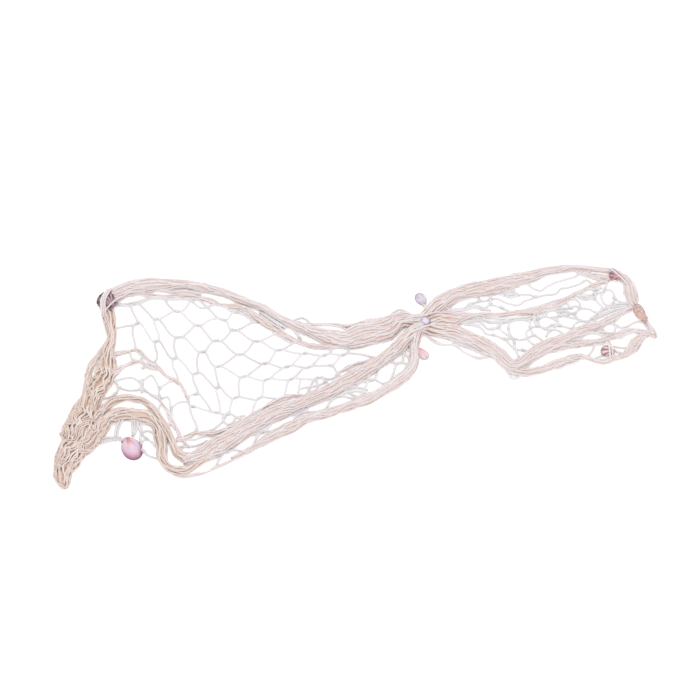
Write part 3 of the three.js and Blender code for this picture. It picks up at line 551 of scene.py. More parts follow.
LEFT_END = table(FOLD_COLUMNS, [
    (-400, 144, 20, 9), (-397, 124, 24, 11), (-392, 101, 20, 13), (-389, 77, 17, 13),
    (-393, 49, 20, 14), (-396, 23, 29, 15), (-402, -2, 36, 16), (-416, -27, 34, 20),
    (-429, -56, 42, 24), (-437, -85, 54, 29), (-442, -111, 54, 31), (-455, -136, 46, 28),
    (-463, -161, 31, 21), (-464, -178, 28, 17), (-462, -190, 21, 13), (-460, -198, 11, 8),
])
LEFT_END_OUTER = table(FOLD_COLUMNS, [
    (-391, 76, 6, 6), (-401, 55, 9, 8), (-414, 34, 10, 8), (-424, 13, 12, 9), (-427, -13, 13, 11),
    (-431, -42, 13, 12),
])
HUMP_OUTER = table(FOLD_COLUMNS, [
    (-458, -132, 24, 22), (-436, -121, 34, 25), (-414, -102, 31, 22), (-398, -79, 23, 17),
    (-376, -66, 24, 14), (-352, -66, 25, 13), (-328, -73, 24, 13), (-312, -92, 21, 13),
    (-308, -117, 19, 13), (-307, -142, 17, 12), (-296, -160, 15, 12), (-272, -165, 14, 12),
    (-250, -155, 11, 9), (-228, -143, 9, 8), (-204, -130, 8, 7),
])
HUMP_INNER = table(FOLD_COLUMNS, [
    (-415, -76, 17, 16), (-402, -59, 16, 15), (-386, -43, 13, 12), (-363, -36, 11, 10),
    (-341, -40, 11, 10), (-325, -52, 12, 11), (-314, -68, 15, 12), (-301, -92, 15, 12),
    (-291, -115, 14, 12), (-282, -135, 15, 12), (-264, -148, 16, 12),
])
TANGLE_STEP = 2.6  # length of one step of a twine that lies in loops
TANGLE_LENGTH = (80, 150)
TANGLE_BEND = 0.1  # its tightest bend, in radians a mm
TANGLE_REACH = 0.32  # how far from the crest it wanders, as a share of the arch
TANGLE_RISE = (0.4, 1.6)  # how far above the twines under it
TANGLE_FOOT = 0.25  # it lies no nearer to the foot of the arch than this turn
TANGLE_DEPTH = 0.25  # how much painted shade darkens and warms it, as if it lay this deep
TANGLE_SIDE_BY_SIDE, TANGLE_APART = 2, 2.3  # twines in a bundle, and radii from one to the next
TANGLE_FREE, TANGLE_PULL = 0.75, 0.1  # share of its reach without a pull back, and how strong it is


def tangled_twines(fold, seed, count, first, last):
    """Slack twines, side by side, that wander over a stretch of a fold and turn back at its edges."""
    dice = np.random.default_rng(seed)
    parts = []
    arch = arch_length(fold)
    for _ in range(count):
        steps = int(dice.uniform(*TANGLE_LENGTH) / TANGLE_STEP)
        gone = np.arange(steps) * TANGLE_STEP
        bend = TANGLE_BEND * waver(dice, gone, 70.0, 34.0, 2)
        along, across, head = dice.uniform(first, last), 0.0, dice.uniform(0, 2 * math.pi)
        way = np.empty((steps, 3))
        for k in range(steps):
            reach = TANGLE_REACH * np.interp(along, fold["along"], arch)
            out = np.array([(2 * along - first - last) / (last - first), across / reach])
            turn_back = (math.atan2(-out[1], -out[0]) - head + math.pi) % (2 * math.pi) - math.pi
            pull = TANGLE_PULL * max(0.0, float(np.hypot(*out)) - TANGLE_FREE) * turn_back
            head += TANGLE_STEP * (bend[k] + np.clip(pull, -TANGLE_BEND, TANGLE_BEND))
            along += TANGLE_STEP * math.cos(head)
            across += TANGLE_STEP * math.sin(head)
            way[k] = along, across, head
        rise = dice.uniform(*TANGLE_RISE) + 0.5 * waver(dice, gone, 60.0, 24.0, 3)
        for n in range(TANGLE_SIDE_BY_SIDE):
            beside = (n - (TANGLE_SIDE_BY_SIDE - 1) / 2) * TANGLE_APART * TWINE_RADIUS
            s = way[:, 0] - np.sin(way[:, 2]) * beside
            w = way[:, 1] + np.cos(way[:, 2]) * beside
            turn = math.pi * (0.5 - w / np.interp(s, fold["along"], arch))
            turn = np.clip(turn, TANGLE_FOOT, math.pi - TANGLE_FOOT)
            line = on_fold(fold, s, turn, -rise - 0.2 * n)
            parts.append((twine_mesh(line), TANGLE_DEPTH, dice.random()))
    return parts


# The same cotton, drawn darker and warmer: painted shade of the dense heap and hump.
shaded_heap_cotton = cotton_twine(
    "heaped_cotton", dark=(0.74, 0.614, 0.555), light=(0.845, 0.75, 0.72), deep=(0.84, 0.69, 0.575)
)
wide_end_parts = dress_fold(
    LEFT_END, seed=111, edges=4, layers=2, core=2.6, ground=1.0, spacing=3.9, lift=0.8, crimp=3.4
)
wide_end_parts += tangled_twines(fold_shapes[-1], seed=131, count=4, first=150.0, last=320.0)
wide_end_parts += dress_fold(LEFT_END_OUTER, seed=112, edges=2)
wide_end_parts += dress_fold(HUMP_OUTER, seed=113, edges=8, core=1.2, ground=0.55, spacing=3.5, crimp=3.2)
wide_end_parts += tangled_twines(fold_shapes[-1], seed=132, count=2, first=6.0, last=80.0)
wide_end_parts += dress_fold(HUMP_INNER, seed=114, edges=5, core=1.0, ground=0.55, spacing=3.3, crimp=2.6)
net_wide_end = net_piece("net_wide_end", wide_end_parts, shaded_heap_cotton)

# Lower edge of the net: two gathered runs that rise from the hump to the waist and go on into the
# narrow wing, and the thin runs that lie beside them and in the wide web. All are rows of the same
# knotted cotton, bunched by hand.

LOWER_INNER = table(FOLD_COLUMNS, [
    (-274, -149, 16, 12), (-248, -138, 27, 14), (-216, -120, 33, 16), (-176, -93, 30, 16),
    (-136, -67, 29, 16), (-88, -47, 23, 16), (-40, -23, 25, 15), (-8, -2, 26, 15), (27, 20, 24, 16),
    (59, 45, 24, 18), (82, 70, 24, 20), (103, 90, 22, 20), (130, 86, 24, 16), (155, 82, 27, 14),
    (181, 72, 28, 14), (208, 58, 27, 13), (232, 41, 24, 13), (250, 22, 23, 13), (267, 27, 22, 13),
    (285, 43, 24, 13), (307, 57, 27, 13), (331, 67, 23, 12), (360, 82, 20, 11), (389, 94, 16, 10),
    (411, 106, 14, 9), (429, 118, 12, 8), (446, 128, 9, 7),
])
LOWER_OUTER = table(FOLD_COLUMNS, [
    (-197, -145, 7, 6), (-180, -136, 9, 7), (-158, -122, 12, 9), (-140, -110, 18, 11),
    (-110, -92, 20, 12), (-79, -75, 17, 12), (-38, -61, 16, 12), (-16, -52, 14, 11), (24, -36, 19, 12),
    (59, -13, 19, 13), (86, 11, 19, 13), (94, 34, 17, 13), (95, 61, 19, 15), (104, 88, 20, 18),
    (132, 103, 34, 15), (152, 104, 34, 11), (172, 107, 20, 9), (192, 111, 13, 8), (232, 112, 10, 7),
    (264, 117, 13, 7), (291, 120, 19, 7), (315, 132, 13, 6), (339, 141, 11, 6), (360, 153, 10, 6),
    (384, 166, 10, 6), (405, 175, 7, 6), (424, 182, 7, 6),
])
LOWER_SHOULDER = table(FOLD_COLUMNS, [
    (-284, -112, 8, 6), (-268, -108, 9, 7), (-253, -99, 9, 7), (-224, -101, 11, 8), (-203, -92, 11, 8),
    (-176, -76, 9, 7), (-152, -61, 9, 7), (-130, -44, 9, 7), (-104, -34, 9, 7), (-80, -35, 9, 7),
    (-66, -38, 8, 7),
])
HUMP_SHOULDER = table(FOLD_COLUMNS, [
    (-315, -36, 6, 5), (-301, -56, 7, 6), (-292, -74, 7, 6), (-283, -95, 7, 6), (-275, -112, 7, 6),
    (-263, -125, 7, 6),
])
LOWEST_RUN = table(FOLD_COLUMNS, [
    (-304, -155, 6, 6), (-293, -169, 6, 5), (-274, -177, 6, 5), (-248, -173, 6, 5), (-216, -160, 6, 5),
    (-184, -142, 6, 5), (-155, -124, 7, 6), (-128, -108, 8, 6),
])
WEB_FOLD = table(FOLD_COLUMNS, [
    (-393, 40, 14, 9), (-366, 45, 9, 6), (-346, 49, 7, 5), (-330, 32, 6, 5), (-315, 18, 8, 6),
    (-299, 0, 7, 5), (-283, -9, 9, 6), (-272, -27, 6, 5), (-266, -43, 5, 5),
])
WEB_FOLD_LOWER = table(FOLD_COLUMNS, [
    (-390, 4, 17, 10), (-377, 15, 12, 8), (-362, 23, 9, 6), (-346, 29, 5, 5), (-331, 18, 6, 5),
    (-317, 14, 6, 5),
])
WEB_RUN = table(FOLD_COLUMNS, [
    (-32, 2, 4, 4), (-26, 9, 6, 5), (-13, 15, 7, 6), (3, 25, 8, 6), (16, 28, 7, 6), (34, 35, 6, 6),
    (44, 38, 5, 6),
])
lower_parts = dress_fold(LOWER_INNER, seed=121, edges=10)
lower_parts += dress_fold(LOWER_OUTER, seed=122, edges=10, ground=0.15)
lower_parts += dress_fold(LOWER_SHOULDER, seed=123, edges=6, sway=0.7)
lower_parts += dress_fold(HUMP_SHOULDER, seed=127, edges=3, sway=0.7)
lower_parts += dress_fold(LOWEST_RUN, seed=124, edges=2, ground=0.1, sway=0.7)
lower_parts += dress_fold(WEB_FOLD, seed=125, edges=4, sway=0.7)
lower_parts += dress_fold(WEB_FOLD_LOWER, seed=126, edges=2, sway=0.7)
lower_parts += dress_fold(WEB_RUN, seed=128, edges=1, sway=0.7)
net_lower_edge = net_piece("net_lower_edge", lower_parts, fold_cotton)

# Narrow end of the net: its right edge and lower edge, gathered more loosely, and short folds that
# branch off towards the corner. They are rows of the same knotted cotton.

RIGHT_END = table(FOLD_COLUMNS, [
    (421, 187, 10, 8), (437, 173, 18, 11), (442, 153, 21, 11), (445, 133, 17, 10), (458, 115, 11, 8),
    (470, 94, 8, 7), (478, 81, 10, 7), (481, 71, 9, 6),
])
BOTTOM_RIGHT = table(FOLD_COLUMNS, [
    (479, 77, 8, 7), (466, 77, 13, 9), (451, 65, 18, 10), (440, 50, 17, 10), (432, 40, 12, 9),
    (414, 33, 10, 7), (395, 26, 8, 6), (379, 32, 9, 7), (360, 38, 12, 8), (341, 32, 16, 9),
    (317, 23, 16, 9), (293, 13, 15, 9), (267, 9, 17, 9), (245, 13, 13, 9),
])
RIGHT_BRANCH = table(FOLD_COLUMNS, [
    (309, 50, 13, 9), (336, 56, 13, 8), (363, 60, 12, 8), (387, 64, 11, 7), (411, 71, 10, 6),
    (428, 77, 7, 6),
])
CORNER_BRANCH = table(FOLD_COLUMNS, [
    (388, 82, 6, 6), (411, 77, 9, 7), (427, 79, 8, 6), (446, 84, 10, 6), (466, 80, 12, 7),
])
STRAY_RUN = table(FOLD_COLUMNS, [
    (112, 78, 6, 6), (126, 63, 5, 5), (141, 58, 4, 4), (158, 58, 5, 5), (174, 45, 4, 4),
    (194, 36, 4, 4), (220, 37, 5, 5),
])
CORNER_RUN = table(FOLD_COLUMNS, [(358, 187, 6, 5), (380, 184, 10, 6), (402, 179, 12, 7), (421, 180, 8, 6)])
narrow_parts = dress_fold(RIGHT_END, seed=141, edges=3)
narrow_parts += dress_fold(BOTTOM_RIGHT, seed=142, edges=5, stray=0.6)
narrow_parts += dress_fold(RIGHT_BRANCH, seed=143, edges=2, stray=0.6)
narrow_parts += dress_fold(CORNER_BRANCH, seed=144, edges=3, sway=0.7)
narrow_parts += dress_fold(STRAY_RUN, seed=145, edges=2, sway=0.7)
narrow_parts += dress_fold(CORNER_RUN, seed=146, edges=4, sway=0.7)
net_narrow_end = net_piece("net_narrow_end", narrow_parts, fold_cotton)

# Open webs: panels of meshes between two folds, single cotton twines from knot to knot that lie on the
# surface, some taut and some slack. A knot is long along its row, so each mesh is a rounded hexagon.

WEB_RADIUS = 2.1
KNOT_REACH = 3.4  # from the middle of a knot to where its bars leave it
KNOT_REACH_SHARE = 0.18  # at most this share of a short bar
KNOT_RISE = 3.2  # from the surface to the middle of a knot
KNOT_SIZE, KNOT_TURNS = 1.1, 2.3  # how large, and how often its twine goes round
KNOT_LEVEL = 0.35  # how strongly a knot tends to lie along the net
BAR_STEPS = {"up": (-1,), "down": (1,), "both": (-1, 1), "end": ()}
BAR_EASE = (0.2, 0.65)  # how far a bar keeps to its knot's heading, as a share of its span
BAR_BOW, BAR_BOW_SHARE = 2.5, 0.1  # the most that a slack bar bows by itself, and its share of the slack
BAR_RIPPLE = (0.2, 0.8)  # how far it ripples
BAR_WAVES = (1.0, 2.2)  # how many ripples it has
BAR_END_RISE = 0.9  # how much higher a bar lies at its knots than a taut one in its middle
BAR_SLACK_RISE = 1.4  # the most that a slack one stands up in its middle
BAR_TAIL = (1.5, 2.6)  # where a bar ends in its knot: how far past the middle, and how high
WEB_COLUMNS = ("column", "top_x", "top_y", "bottom_x", "bottom_y")


def scatter(a, b):
    """A repeatable scatter from -1 to 1 for a pair of whole numbers."""
    wave = math.sin(a * 12.9898 + b * 78.233 + 4.137) * 43758.5453
    return 2 * (wave - math.floor(wave)) - 1


def in_fold(x, y, share=0.92):
    """Whether a place of the plan lies well inside a gathered fold."""
    return any(np.any(np.hypot(f["x"] - x, f["y"] - y) < share * f["half"]) for f in fold_shapes)


def panel_knots(rows, loose, guides, seed):
    """The knots of a panel between an upper and a lower fold, and the rows that their bars lead to."""
    knots = {}
    for i in range(int(guides["column"][0]), int(guides["column"][-1]) + 1):
        top_x, top_y, bottom_x, bottom_y = (
            float(smooth(guides["column"], guides[name], i)) for name in WEB_COLUMNS[1:]
        )
        for j in range(rows + 1):
            if (i + j) % 2:
                continue
            share = j / rows
            x = top_x * (1 - share) + bottom_x * share + loose * scatter(i + seed, j)
            y = top_y * (1 - share) + bottom_y * share + loose * scatter(j - seed, i)
            knots[i, j] = (x, y, BAR_STEPS["both"])
    return knots


def web_knot(at, heading, dice, size):
    """A knot of a web, with its own shade."""
    knot = knot_mesh((*at, KNOT_RISE), np.append(heading, 0.0), dice, size, KNOT_TURNS)
    return knot, 0.0, dice.random()


def web_twines(knots, seed, bows):
    """The bars and knots of a web. Bows say how far a bar's middle lies to the left of its way."""
    dice = np.random.default_rng(700 + seed)
    spot = {key: np.array([x, y]) for key, (x, y, _) in knots.items()}
    bars = []
    for (i, j), (x, y, leads) in knots.items():
        for step in leads:
            other = (i + 1, j + step)
            if other not in knots:
                continue
            middle = (spot[i, j] + spot[other]) / 2
            if in_fold(x, y) and in_fold(*spot[other]) and in_fold(*middle):
                continue
            bars.append(((i, j), other))
    heading = {key: np.array([KNOT_LEVEL, 0.0]) for key in knots}
    for a, b in bars:
        way = (spot[b] - spot[a]) / np.hypot(*(spot[b] - spot[a]))
        heading[a] = heading[a] + way
        heading[b] = heading[b] + way
    heading = {key: way / np.hypot(*way) for key, way in heading.items()}
    parts, used = [], set()
    for a, b in bars:
        span = float(np.hypot(*(spot[b] - spot[a])))
        reach = min(KNOT_REACH, KNOT_REACH_SHARE * span)
        start, end = spot[a] + heading[a] * reach, spot[b] - heading[b] * reach
        leave = heading[a] * span * dice.uniform(*BAR_EASE)
        arrive = heading[b] * span * dice.uniform(*BAR_EASE)
        t = np.linspace(0, 1, max(7, int(span / TWINE_STEP) + 2))[:, None]
        ease = t * t * (3 - 2 * t)
        swell = 4 * t * (1 - t)
        flat = start * (1 - ease) + end * ease
        flat = flat + t * (1 - t) ** 2 * leave - t * t * (1 - t) * arrive
        across = np.array([-(end - start)[1], (end - start)[0]]) / span
        slack = math.sqrt(max(0.0, MESH_BAR**2 - span**2))
        bow = bows.get((a, b), min(BAR_BOW, BAR_BOW_SHARE * slack) * dice.uniform(-1, 1))
        ripple = dice.uniform(*BAR_RIPPLE)
        ripple = ripple * np.sin(2 * math.pi * (t * dice.uniform(*BAR_WAVES) + dice.random()))
        flat = flat + (bow * swell + ripple * np.sin(math.pi * t)) * across
        rest = WEB_RADIUS + BAR_END_RISE * (1 - swell) + dice.uniform(0.0, BAR_SLACK_RISE) * swell
        run_in = np.append(spot[a] - heading[a] * BAR_TAIL[0], BAR_TAIL[1])
        run_out = np.append(spot[b] + heading[b] * BAR_TAIL[0], BAR_TAIL[1])
        line = np.vstack([run_in, np.hstack([flat, rest]), run_out])
        parts.append((twine_mesh(line, WEB_RADIUS), 0.0, dice.random()))
        used.update((a, b))
    for key in sorted(used):
        if not in_fold(*spot[key], share=0.75):
            parts.append(web_knot(spot[key], heading[key], dice, KNOT_SIZE * dice.uniform(0.92, 1.12)))
    return parts


WIDE_WEB = [
    # column, row, x, y, bars
    (-3, -1, -384, 86, "down"), (-3, 1, -352, 50, "up"), (-2, -2, -384, 128, "down"),
    (-2, 0, -349, 95, "both"), (-2, 2, -320, 25, "up"), (-1, -1, -352, 130, "both"),
    (-1, 1, -318, 63, "both"), (-1, 3, -283, -7, "up"), (-1, 5, -269, -36, "both"),
    (-1, 7, -253, -97, "up"), (0, -2, -312, 143, "down"), (0, 0, -318, 103, "both"),
    (0, 2, -288, 32, "both"), (0, 4, -254, -32, "both"), (0, 6, -258, -54, "up"),
    (1, -1, -285, 117, "both"), (1, 1, -280, 70, "both"), (1, 3, -254, 5, "both"),
    (1, 5, -221, -65, "both"), (2, -2, -258, 139, "down"), (2, 0, -250, 91, "both"),
    (2, 2, -243, 44, "both"), (2, 4, -219, -20, "both"), (2, 6, -203, -68, "both"),
    (3, -3, -213, 129, "down"), (3, -1, -209, 101, "both"), (3, 1, -221, 64, "both"),
    (3, 3, -218, 18, "both"), (3, 5, -190, -38, "both"), (3, 7, -173, -76, "up"),
    (4, -2, -189, 115, "both"), (4, 0, -194, 83, "both"), (4, 2, -184, 39, "both"),
    (4, 4, -178, -1, "both"), (4, 6, -154, -40, "both"), (5, -3, -168, 113, "end"),
    (5, -1, -155, 97, "end"), (5, 1, -157, 63, "both"), (5, 3, -144, 23, "both"),
    (5, 5, -142, -6, "both"), (5, 7, -118, -38, "up"), (6, 0, -123, 79, "end"),
    (6, 2, -122, 47, "both"), (6, 4, -109, 17, "both"), (6, 6, -102, -5, "both"),
    (6, 8, -82, -38, "up"), (7, 1, -93, 62, "end"), (7, 3, -80, 41, "down"), (7, 5, -75, 16, "both"),
    (7, 7, -61, -3, "end"), (8, 4, -48, 38, "both"), (8, 6, -40, 19, "both"), (8, 8, -40, -20, "end"),
    (9, 3, -34, 55, "end"), (9, 5, -18, 39, "both"), (9, 7, -21, -2, "end"), (10, 4, -6, 56, "end"),
    (10, 6, 38, 33, "end"),
]
LEFT_LOWER_WEB = table(WEB_COLUMNS, [
    (0, -232, -136, -226, -166), (3, -150, -90, -146, -114), (6, -58, -42, -56, -62),
    (9, 27, 10, 27, -28), (12, 84, 56, 94, 20),
])
WIDE_BOWS = {
    ((-2, 0), (-1, -1)): 4.5, ((-3, 1), (-2, 0)): 2.7, ((0, 0), (1, 1)): -2.0, ((1, -1), (2, -2)): -3.0,
    ((0, 2), (1, 1)): 5.6, ((-2, 2), (-1, 1)): -3.4, ((2, 0), (3, -1)): 7.0, ((2, 0), (3, 1)): -3.0,
    ((3, 1), (4, 0)): -4.0, ((2, 2), (3, 3)): -2.0, ((1, 3), (2, 2)): 1.8, ((-1, 3), (0, 2)): 1.8,
    ((1, 3), (2, 4)): 2.7, ((0, 4), (1, 3)): 3.0, ((2, 4), (3, 3)): 2.3, ((2, 4), (3, 5)): -2.7,
    ((1, 5), (2, 4)): -3.5, ((3, 5), (4, 4)): 2.3, ((2, 6), (3, 5)): 3.4, ((0, 4), (1, 5)): 1.8,
    ((0, 6), (1, 5)): -1.4, ((3, 1), (4, 2)): 1.0,
}
web_knots = {(i, j): (x, y, BAR_STEPS[bars]) for i, j, x, y, bars in WIDE_WEB}
web_parts = web_twines(web_knots, seed=0, bows=WIDE_BOWS)
lower_knots = panel_knots(rows=2, loose=2, guides=LEFT_LOWER_WEB, seed=1)
web_parts += web_twines(lower_knots, seed=1, bows={})

# Web of the narrow wing: the same twine, slack, so its rows lie in long uneven waves with small open
# meshes between them. Each row below is one twine by the places that it passes.

NARROW_TWINES = [
    # between the top edge and the middle fold
    (148, 118, 162, 121, 174, 122, 184, 130, 200, 135, 208, 135, 217, 139, 229, 139, 240, 133,
     250, 130, 262, 128, 270, 134, 280, 138, 290, 143),
    (247, 160, 251, 157, 261, 147, 271, 147, 281, 147, 290, 143, 304, 146, 322, 148, 330, 158,
     341, 159, 355, 164, 363, 168, 370, 173, 376, 171, 382, 166, 395, 169, 405, 171),
    (274, 170, 286, 158, 298, 154, 306, 160, 314, 165, 322, 169, 335, 173, 346, 177, 356, 181,
     364, 190),
    (184, 130, 187, 126, 197, 127, 208, 123, 217, 129, 226, 127, 236, 123, 246, 117),
    (226, 150, 238, 146, 247, 142, 256, 143, 261, 147),
    (198, 143, 200, 135),
    (217, 139, 217, 129),
    (355, 190, 362, 184, 370, 184, 378, 190),
    # from the waist's fan to the large mesh
    (152, 103, 168, 102, 184, 99, 198, 100, 206, 92, 213, 85, 220, 85, 229, 88, 237, 97),
    (154, 99, 168, 97, 180, 93, 192, 91, 203, 85, 210, 77, 222, 74),
    (205, 101, 218, 96, 237, 97, 248, 99, 261, 101, 272, 101, 279, 102, 287, 109, 291, 120),
    (248, 99, 246, 85, 251, 69),
    (279, 102, 280, 87, 274, 80, 275, 68),
    (251, 69, 264, 66, 275, 68, 281, 71, 286, 74, 296, 67, 304, 60),
    (229, 88, 239, 78, 251, 69, 255, 60, 256, 49, 262, 34),
    (222, 74, 240, 67, 251, 69),
    (240, 67, 247, 58, 256, 49, 268, 47, 280, 46),
    (280, 87, 286, 74),
    (275, 68, 283, 59, 292, 54),
    # small meshes in the middle
    (280, 87, 286, 89, 293, 90, 303, 86, 312, 82),
    (291, 118, 294, 103, 293, 90),
    (294, 103, 303, 108, 308, 115, 317, 119, 327, 116, 337, 117, 346, 113, 352, 113),
    (303, 108, 316, 105, 326, 108, 339, 109, 337, 117),
    (327, 116, 326, 108, 323, 100, 328, 91),
    (316, 105, 323, 100),
    (318, 89, 328, 91, 338, 88, 348, 87, 351, 94, 362, 100),
    (305, 70, 312, 82, 320, 84, 329, 80, 336, 70),
    (341, 140, 341, 130, 345, 123, 354, 127, 360, 122),
    (345, 139, 354, 138, 360, 131, 360, 122, 352, 113, 355, 105, 362, 100, 372, 99, 380, 105),
    (360, 122, 368, 122, 378, 119, 388, 114),
    # round the oval mesh at the right end
    (358, 150, 360, 141, 370, 139, 384, 139, 389, 133, 395, 127, 397, 120),
    (379, 160, 385, 149, 384, 139),
    (385, 149, 395, 151),
    (405, 171, 400, 154, 395, 144, 398, 133, 405, 126, 397, 120, 388, 114, 380, 105, 370, 94),
    (400, 154, 408, 156, 414, 150, 416, 140, 412, 131, 405, 126),
    (412, 131, 404, 116, 393, 110, 384, 102, 380, 93),
    (416, 140, 427, 134, 441, 132),
    # between the two lower folds
    (348, 70, 361, 75, 379, 77, 390, 76, 403, 73, 415, 78),
    (348, 66, 370, 65, 388, 66, 403, 73),
    (390, 90, 402, 79, 403, 73),
    (398, 101, 405, 99, 418, 91, 426, 87, 437, 91, 449, 97, 466, 97),
    (418, 91, 415, 78, 424, 68, 431, 74, 441, 78, 453, 84),
    (384, 60, 379, 45, 372, 36),
    (383, 31, 396, 38, 402, 42),
    (414, 54, 424, 52, 438, 50),
    (413, 46, 422, 43, 434, 38),
    # fuller rows by the waist and under the top edge
    (150, 105, 175, 108, 200, 106, 222, 105, 240, 103, 262, 105, 280, 107),
    (150, 101, 172, 102, 190, 104, 206, 106),
    (150, 96, 170, 97, 186, 96, 200, 90),
    (205, 103, 218, 98, 237, 99, 248, 101),
    (148, 114, 160, 118, 176, 119, 190, 124, 204, 121, 218, 118),
    (216, 152, 230, 150, 243, 151, 256, 155),
    (240, 145, 252, 147, 261, 149),
    (350, 150, 362, 154, 372, 158, 386, 156, 396, 160),
    (365, 147, 375, 146, 385, 149),
    (352, 146, 366, 144, 378, 142),
    (405, 126, 420, 130, 440, 131),
    (397, 120, 415, 125, 440, 127),
    (391, 112, 410, 119, 436, 124),
    (300, 124, 312, 123, 326, 126, 338, 133),
    (294, 114, 306, 118, 320, 121, 334, 122, 345, 123),
    (326, 108, 340, 112, 352, 113),
    (339, 109, 346, 105, 355, 105),
    (303, 86, 316, 92, 328, 91),
    (286, 110, 287, 98, 293, 90),
    (378, 103, 392, 107, 404, 113, 418, 120),
    # by the hump, in the lower web and at its right end
    (-384, -8, -377, -20, -383, -32, -394, -38, -406, -40),
    (-339, 27, -330, 17, -320, 12),
    (-338, 15, -328, 22, -318, 18),
    (-340, -8, -342, -16, -340, -26),
    (-336, -24, -324, -34, -311, -42),
    (-360, 44, -356, 31, -346, 28),
    (-87, -6, -89, -16, -91, -30),
    (-62, -2, -61, -10, -60, -22),
    (-91, -24, -80, -20, -62, -17, -48, -10),
    (-61, -3, -52, -2, -44, -5, -34, -3, -24, 9),
    (-52, -2, -48, -10),
    (-40, 42, -36, 50, -22, 52, -8, 47),
    (-36, -30, -16, -24, 5, -20, 20, -25),
    (-28, -36, -10, -28, 10, -27, 24, -33),
    (-20, -22, -6, -32, 8, -38),
    (-203, -67, -211, -75, -204, -86, -196, -83, -190, -74, -176, -70),
    (78, 56, 86, 46, 92, 36),
    (72, 48, 80, 40, 88, 30),
    (82, 62, 90, 50, 94, 40),
    # under the stray run at the waist
    (158, 55, 168, 57, 177, 53, 187, 48, 200, 42, 212, 38),
]


def smooth_line(stops, step):
    """Places along a smooth line through a few stops, and its points there."""
    stops = np.array(stops, float)
    run = run_length(stops)
    along = np.linspace(0, run[-1], max(6, int(run[-1] / step) + 1))
    return along, np.stack([smooth(run, column, along) for column in stops.T], axis=1)


SLACK_STEP = 2.6
SLACK_LIFT = 0.9  # a slack row lies this much above the surface, give or take its waves
SLACK_WAVES = 0.8
LONE_STOPS = 0.88  # share of the stops that have no knot because only one twine passes


def slack_line(stops, dice):
    """A twine through places of the plan that lies on the surface and rises a little in waves."""
    along, line = smooth_line(stops, SLACK_STEP)
    up = WEB_RADIUS + SLACK_LIFT + SLACK_WAVES * waver(dice, along, 60.0, 22.0, 3)
    return np.column_stack([line, np.maximum(up, WEB_RADIUS)])


narrow_dice = np.random.default_rng(720)
passes = {}
for row in NARROW_TWINES:
    stops = list(zip(row[::2], row[1::2]))
    web_parts.append((twine_mesh(slack_line(stops, narrow_dice), WEB_RADIUS), 0.0, narrow_dice.random()))
    for k, stop in enumerate(stops):
        way = np.subtract(stops[min(k + 1, len(stops) - 1)], stops[max(k - 1, 0)])
        passes.setdefault(stop, []).append(way * (1 if way[0] >= 0 else -1))
for stop, ways in passes.items():
    if in_fold(*stop, share=0.75) or (len(ways) < 2 and narrow_dice.random() < LONE_STOPS):
        continue
    heading = max(ways, key=lambda way: way[0])
    web_parts.append(web_knot(stop, heading, narrow_dice, KNOT_SIZE * narrow_dice.uniform(0.9, 1.1)))

# Loose twines: ends and slack loops of the same cotton that hang off the folds, and the twines that
# cross a shell and hold it.

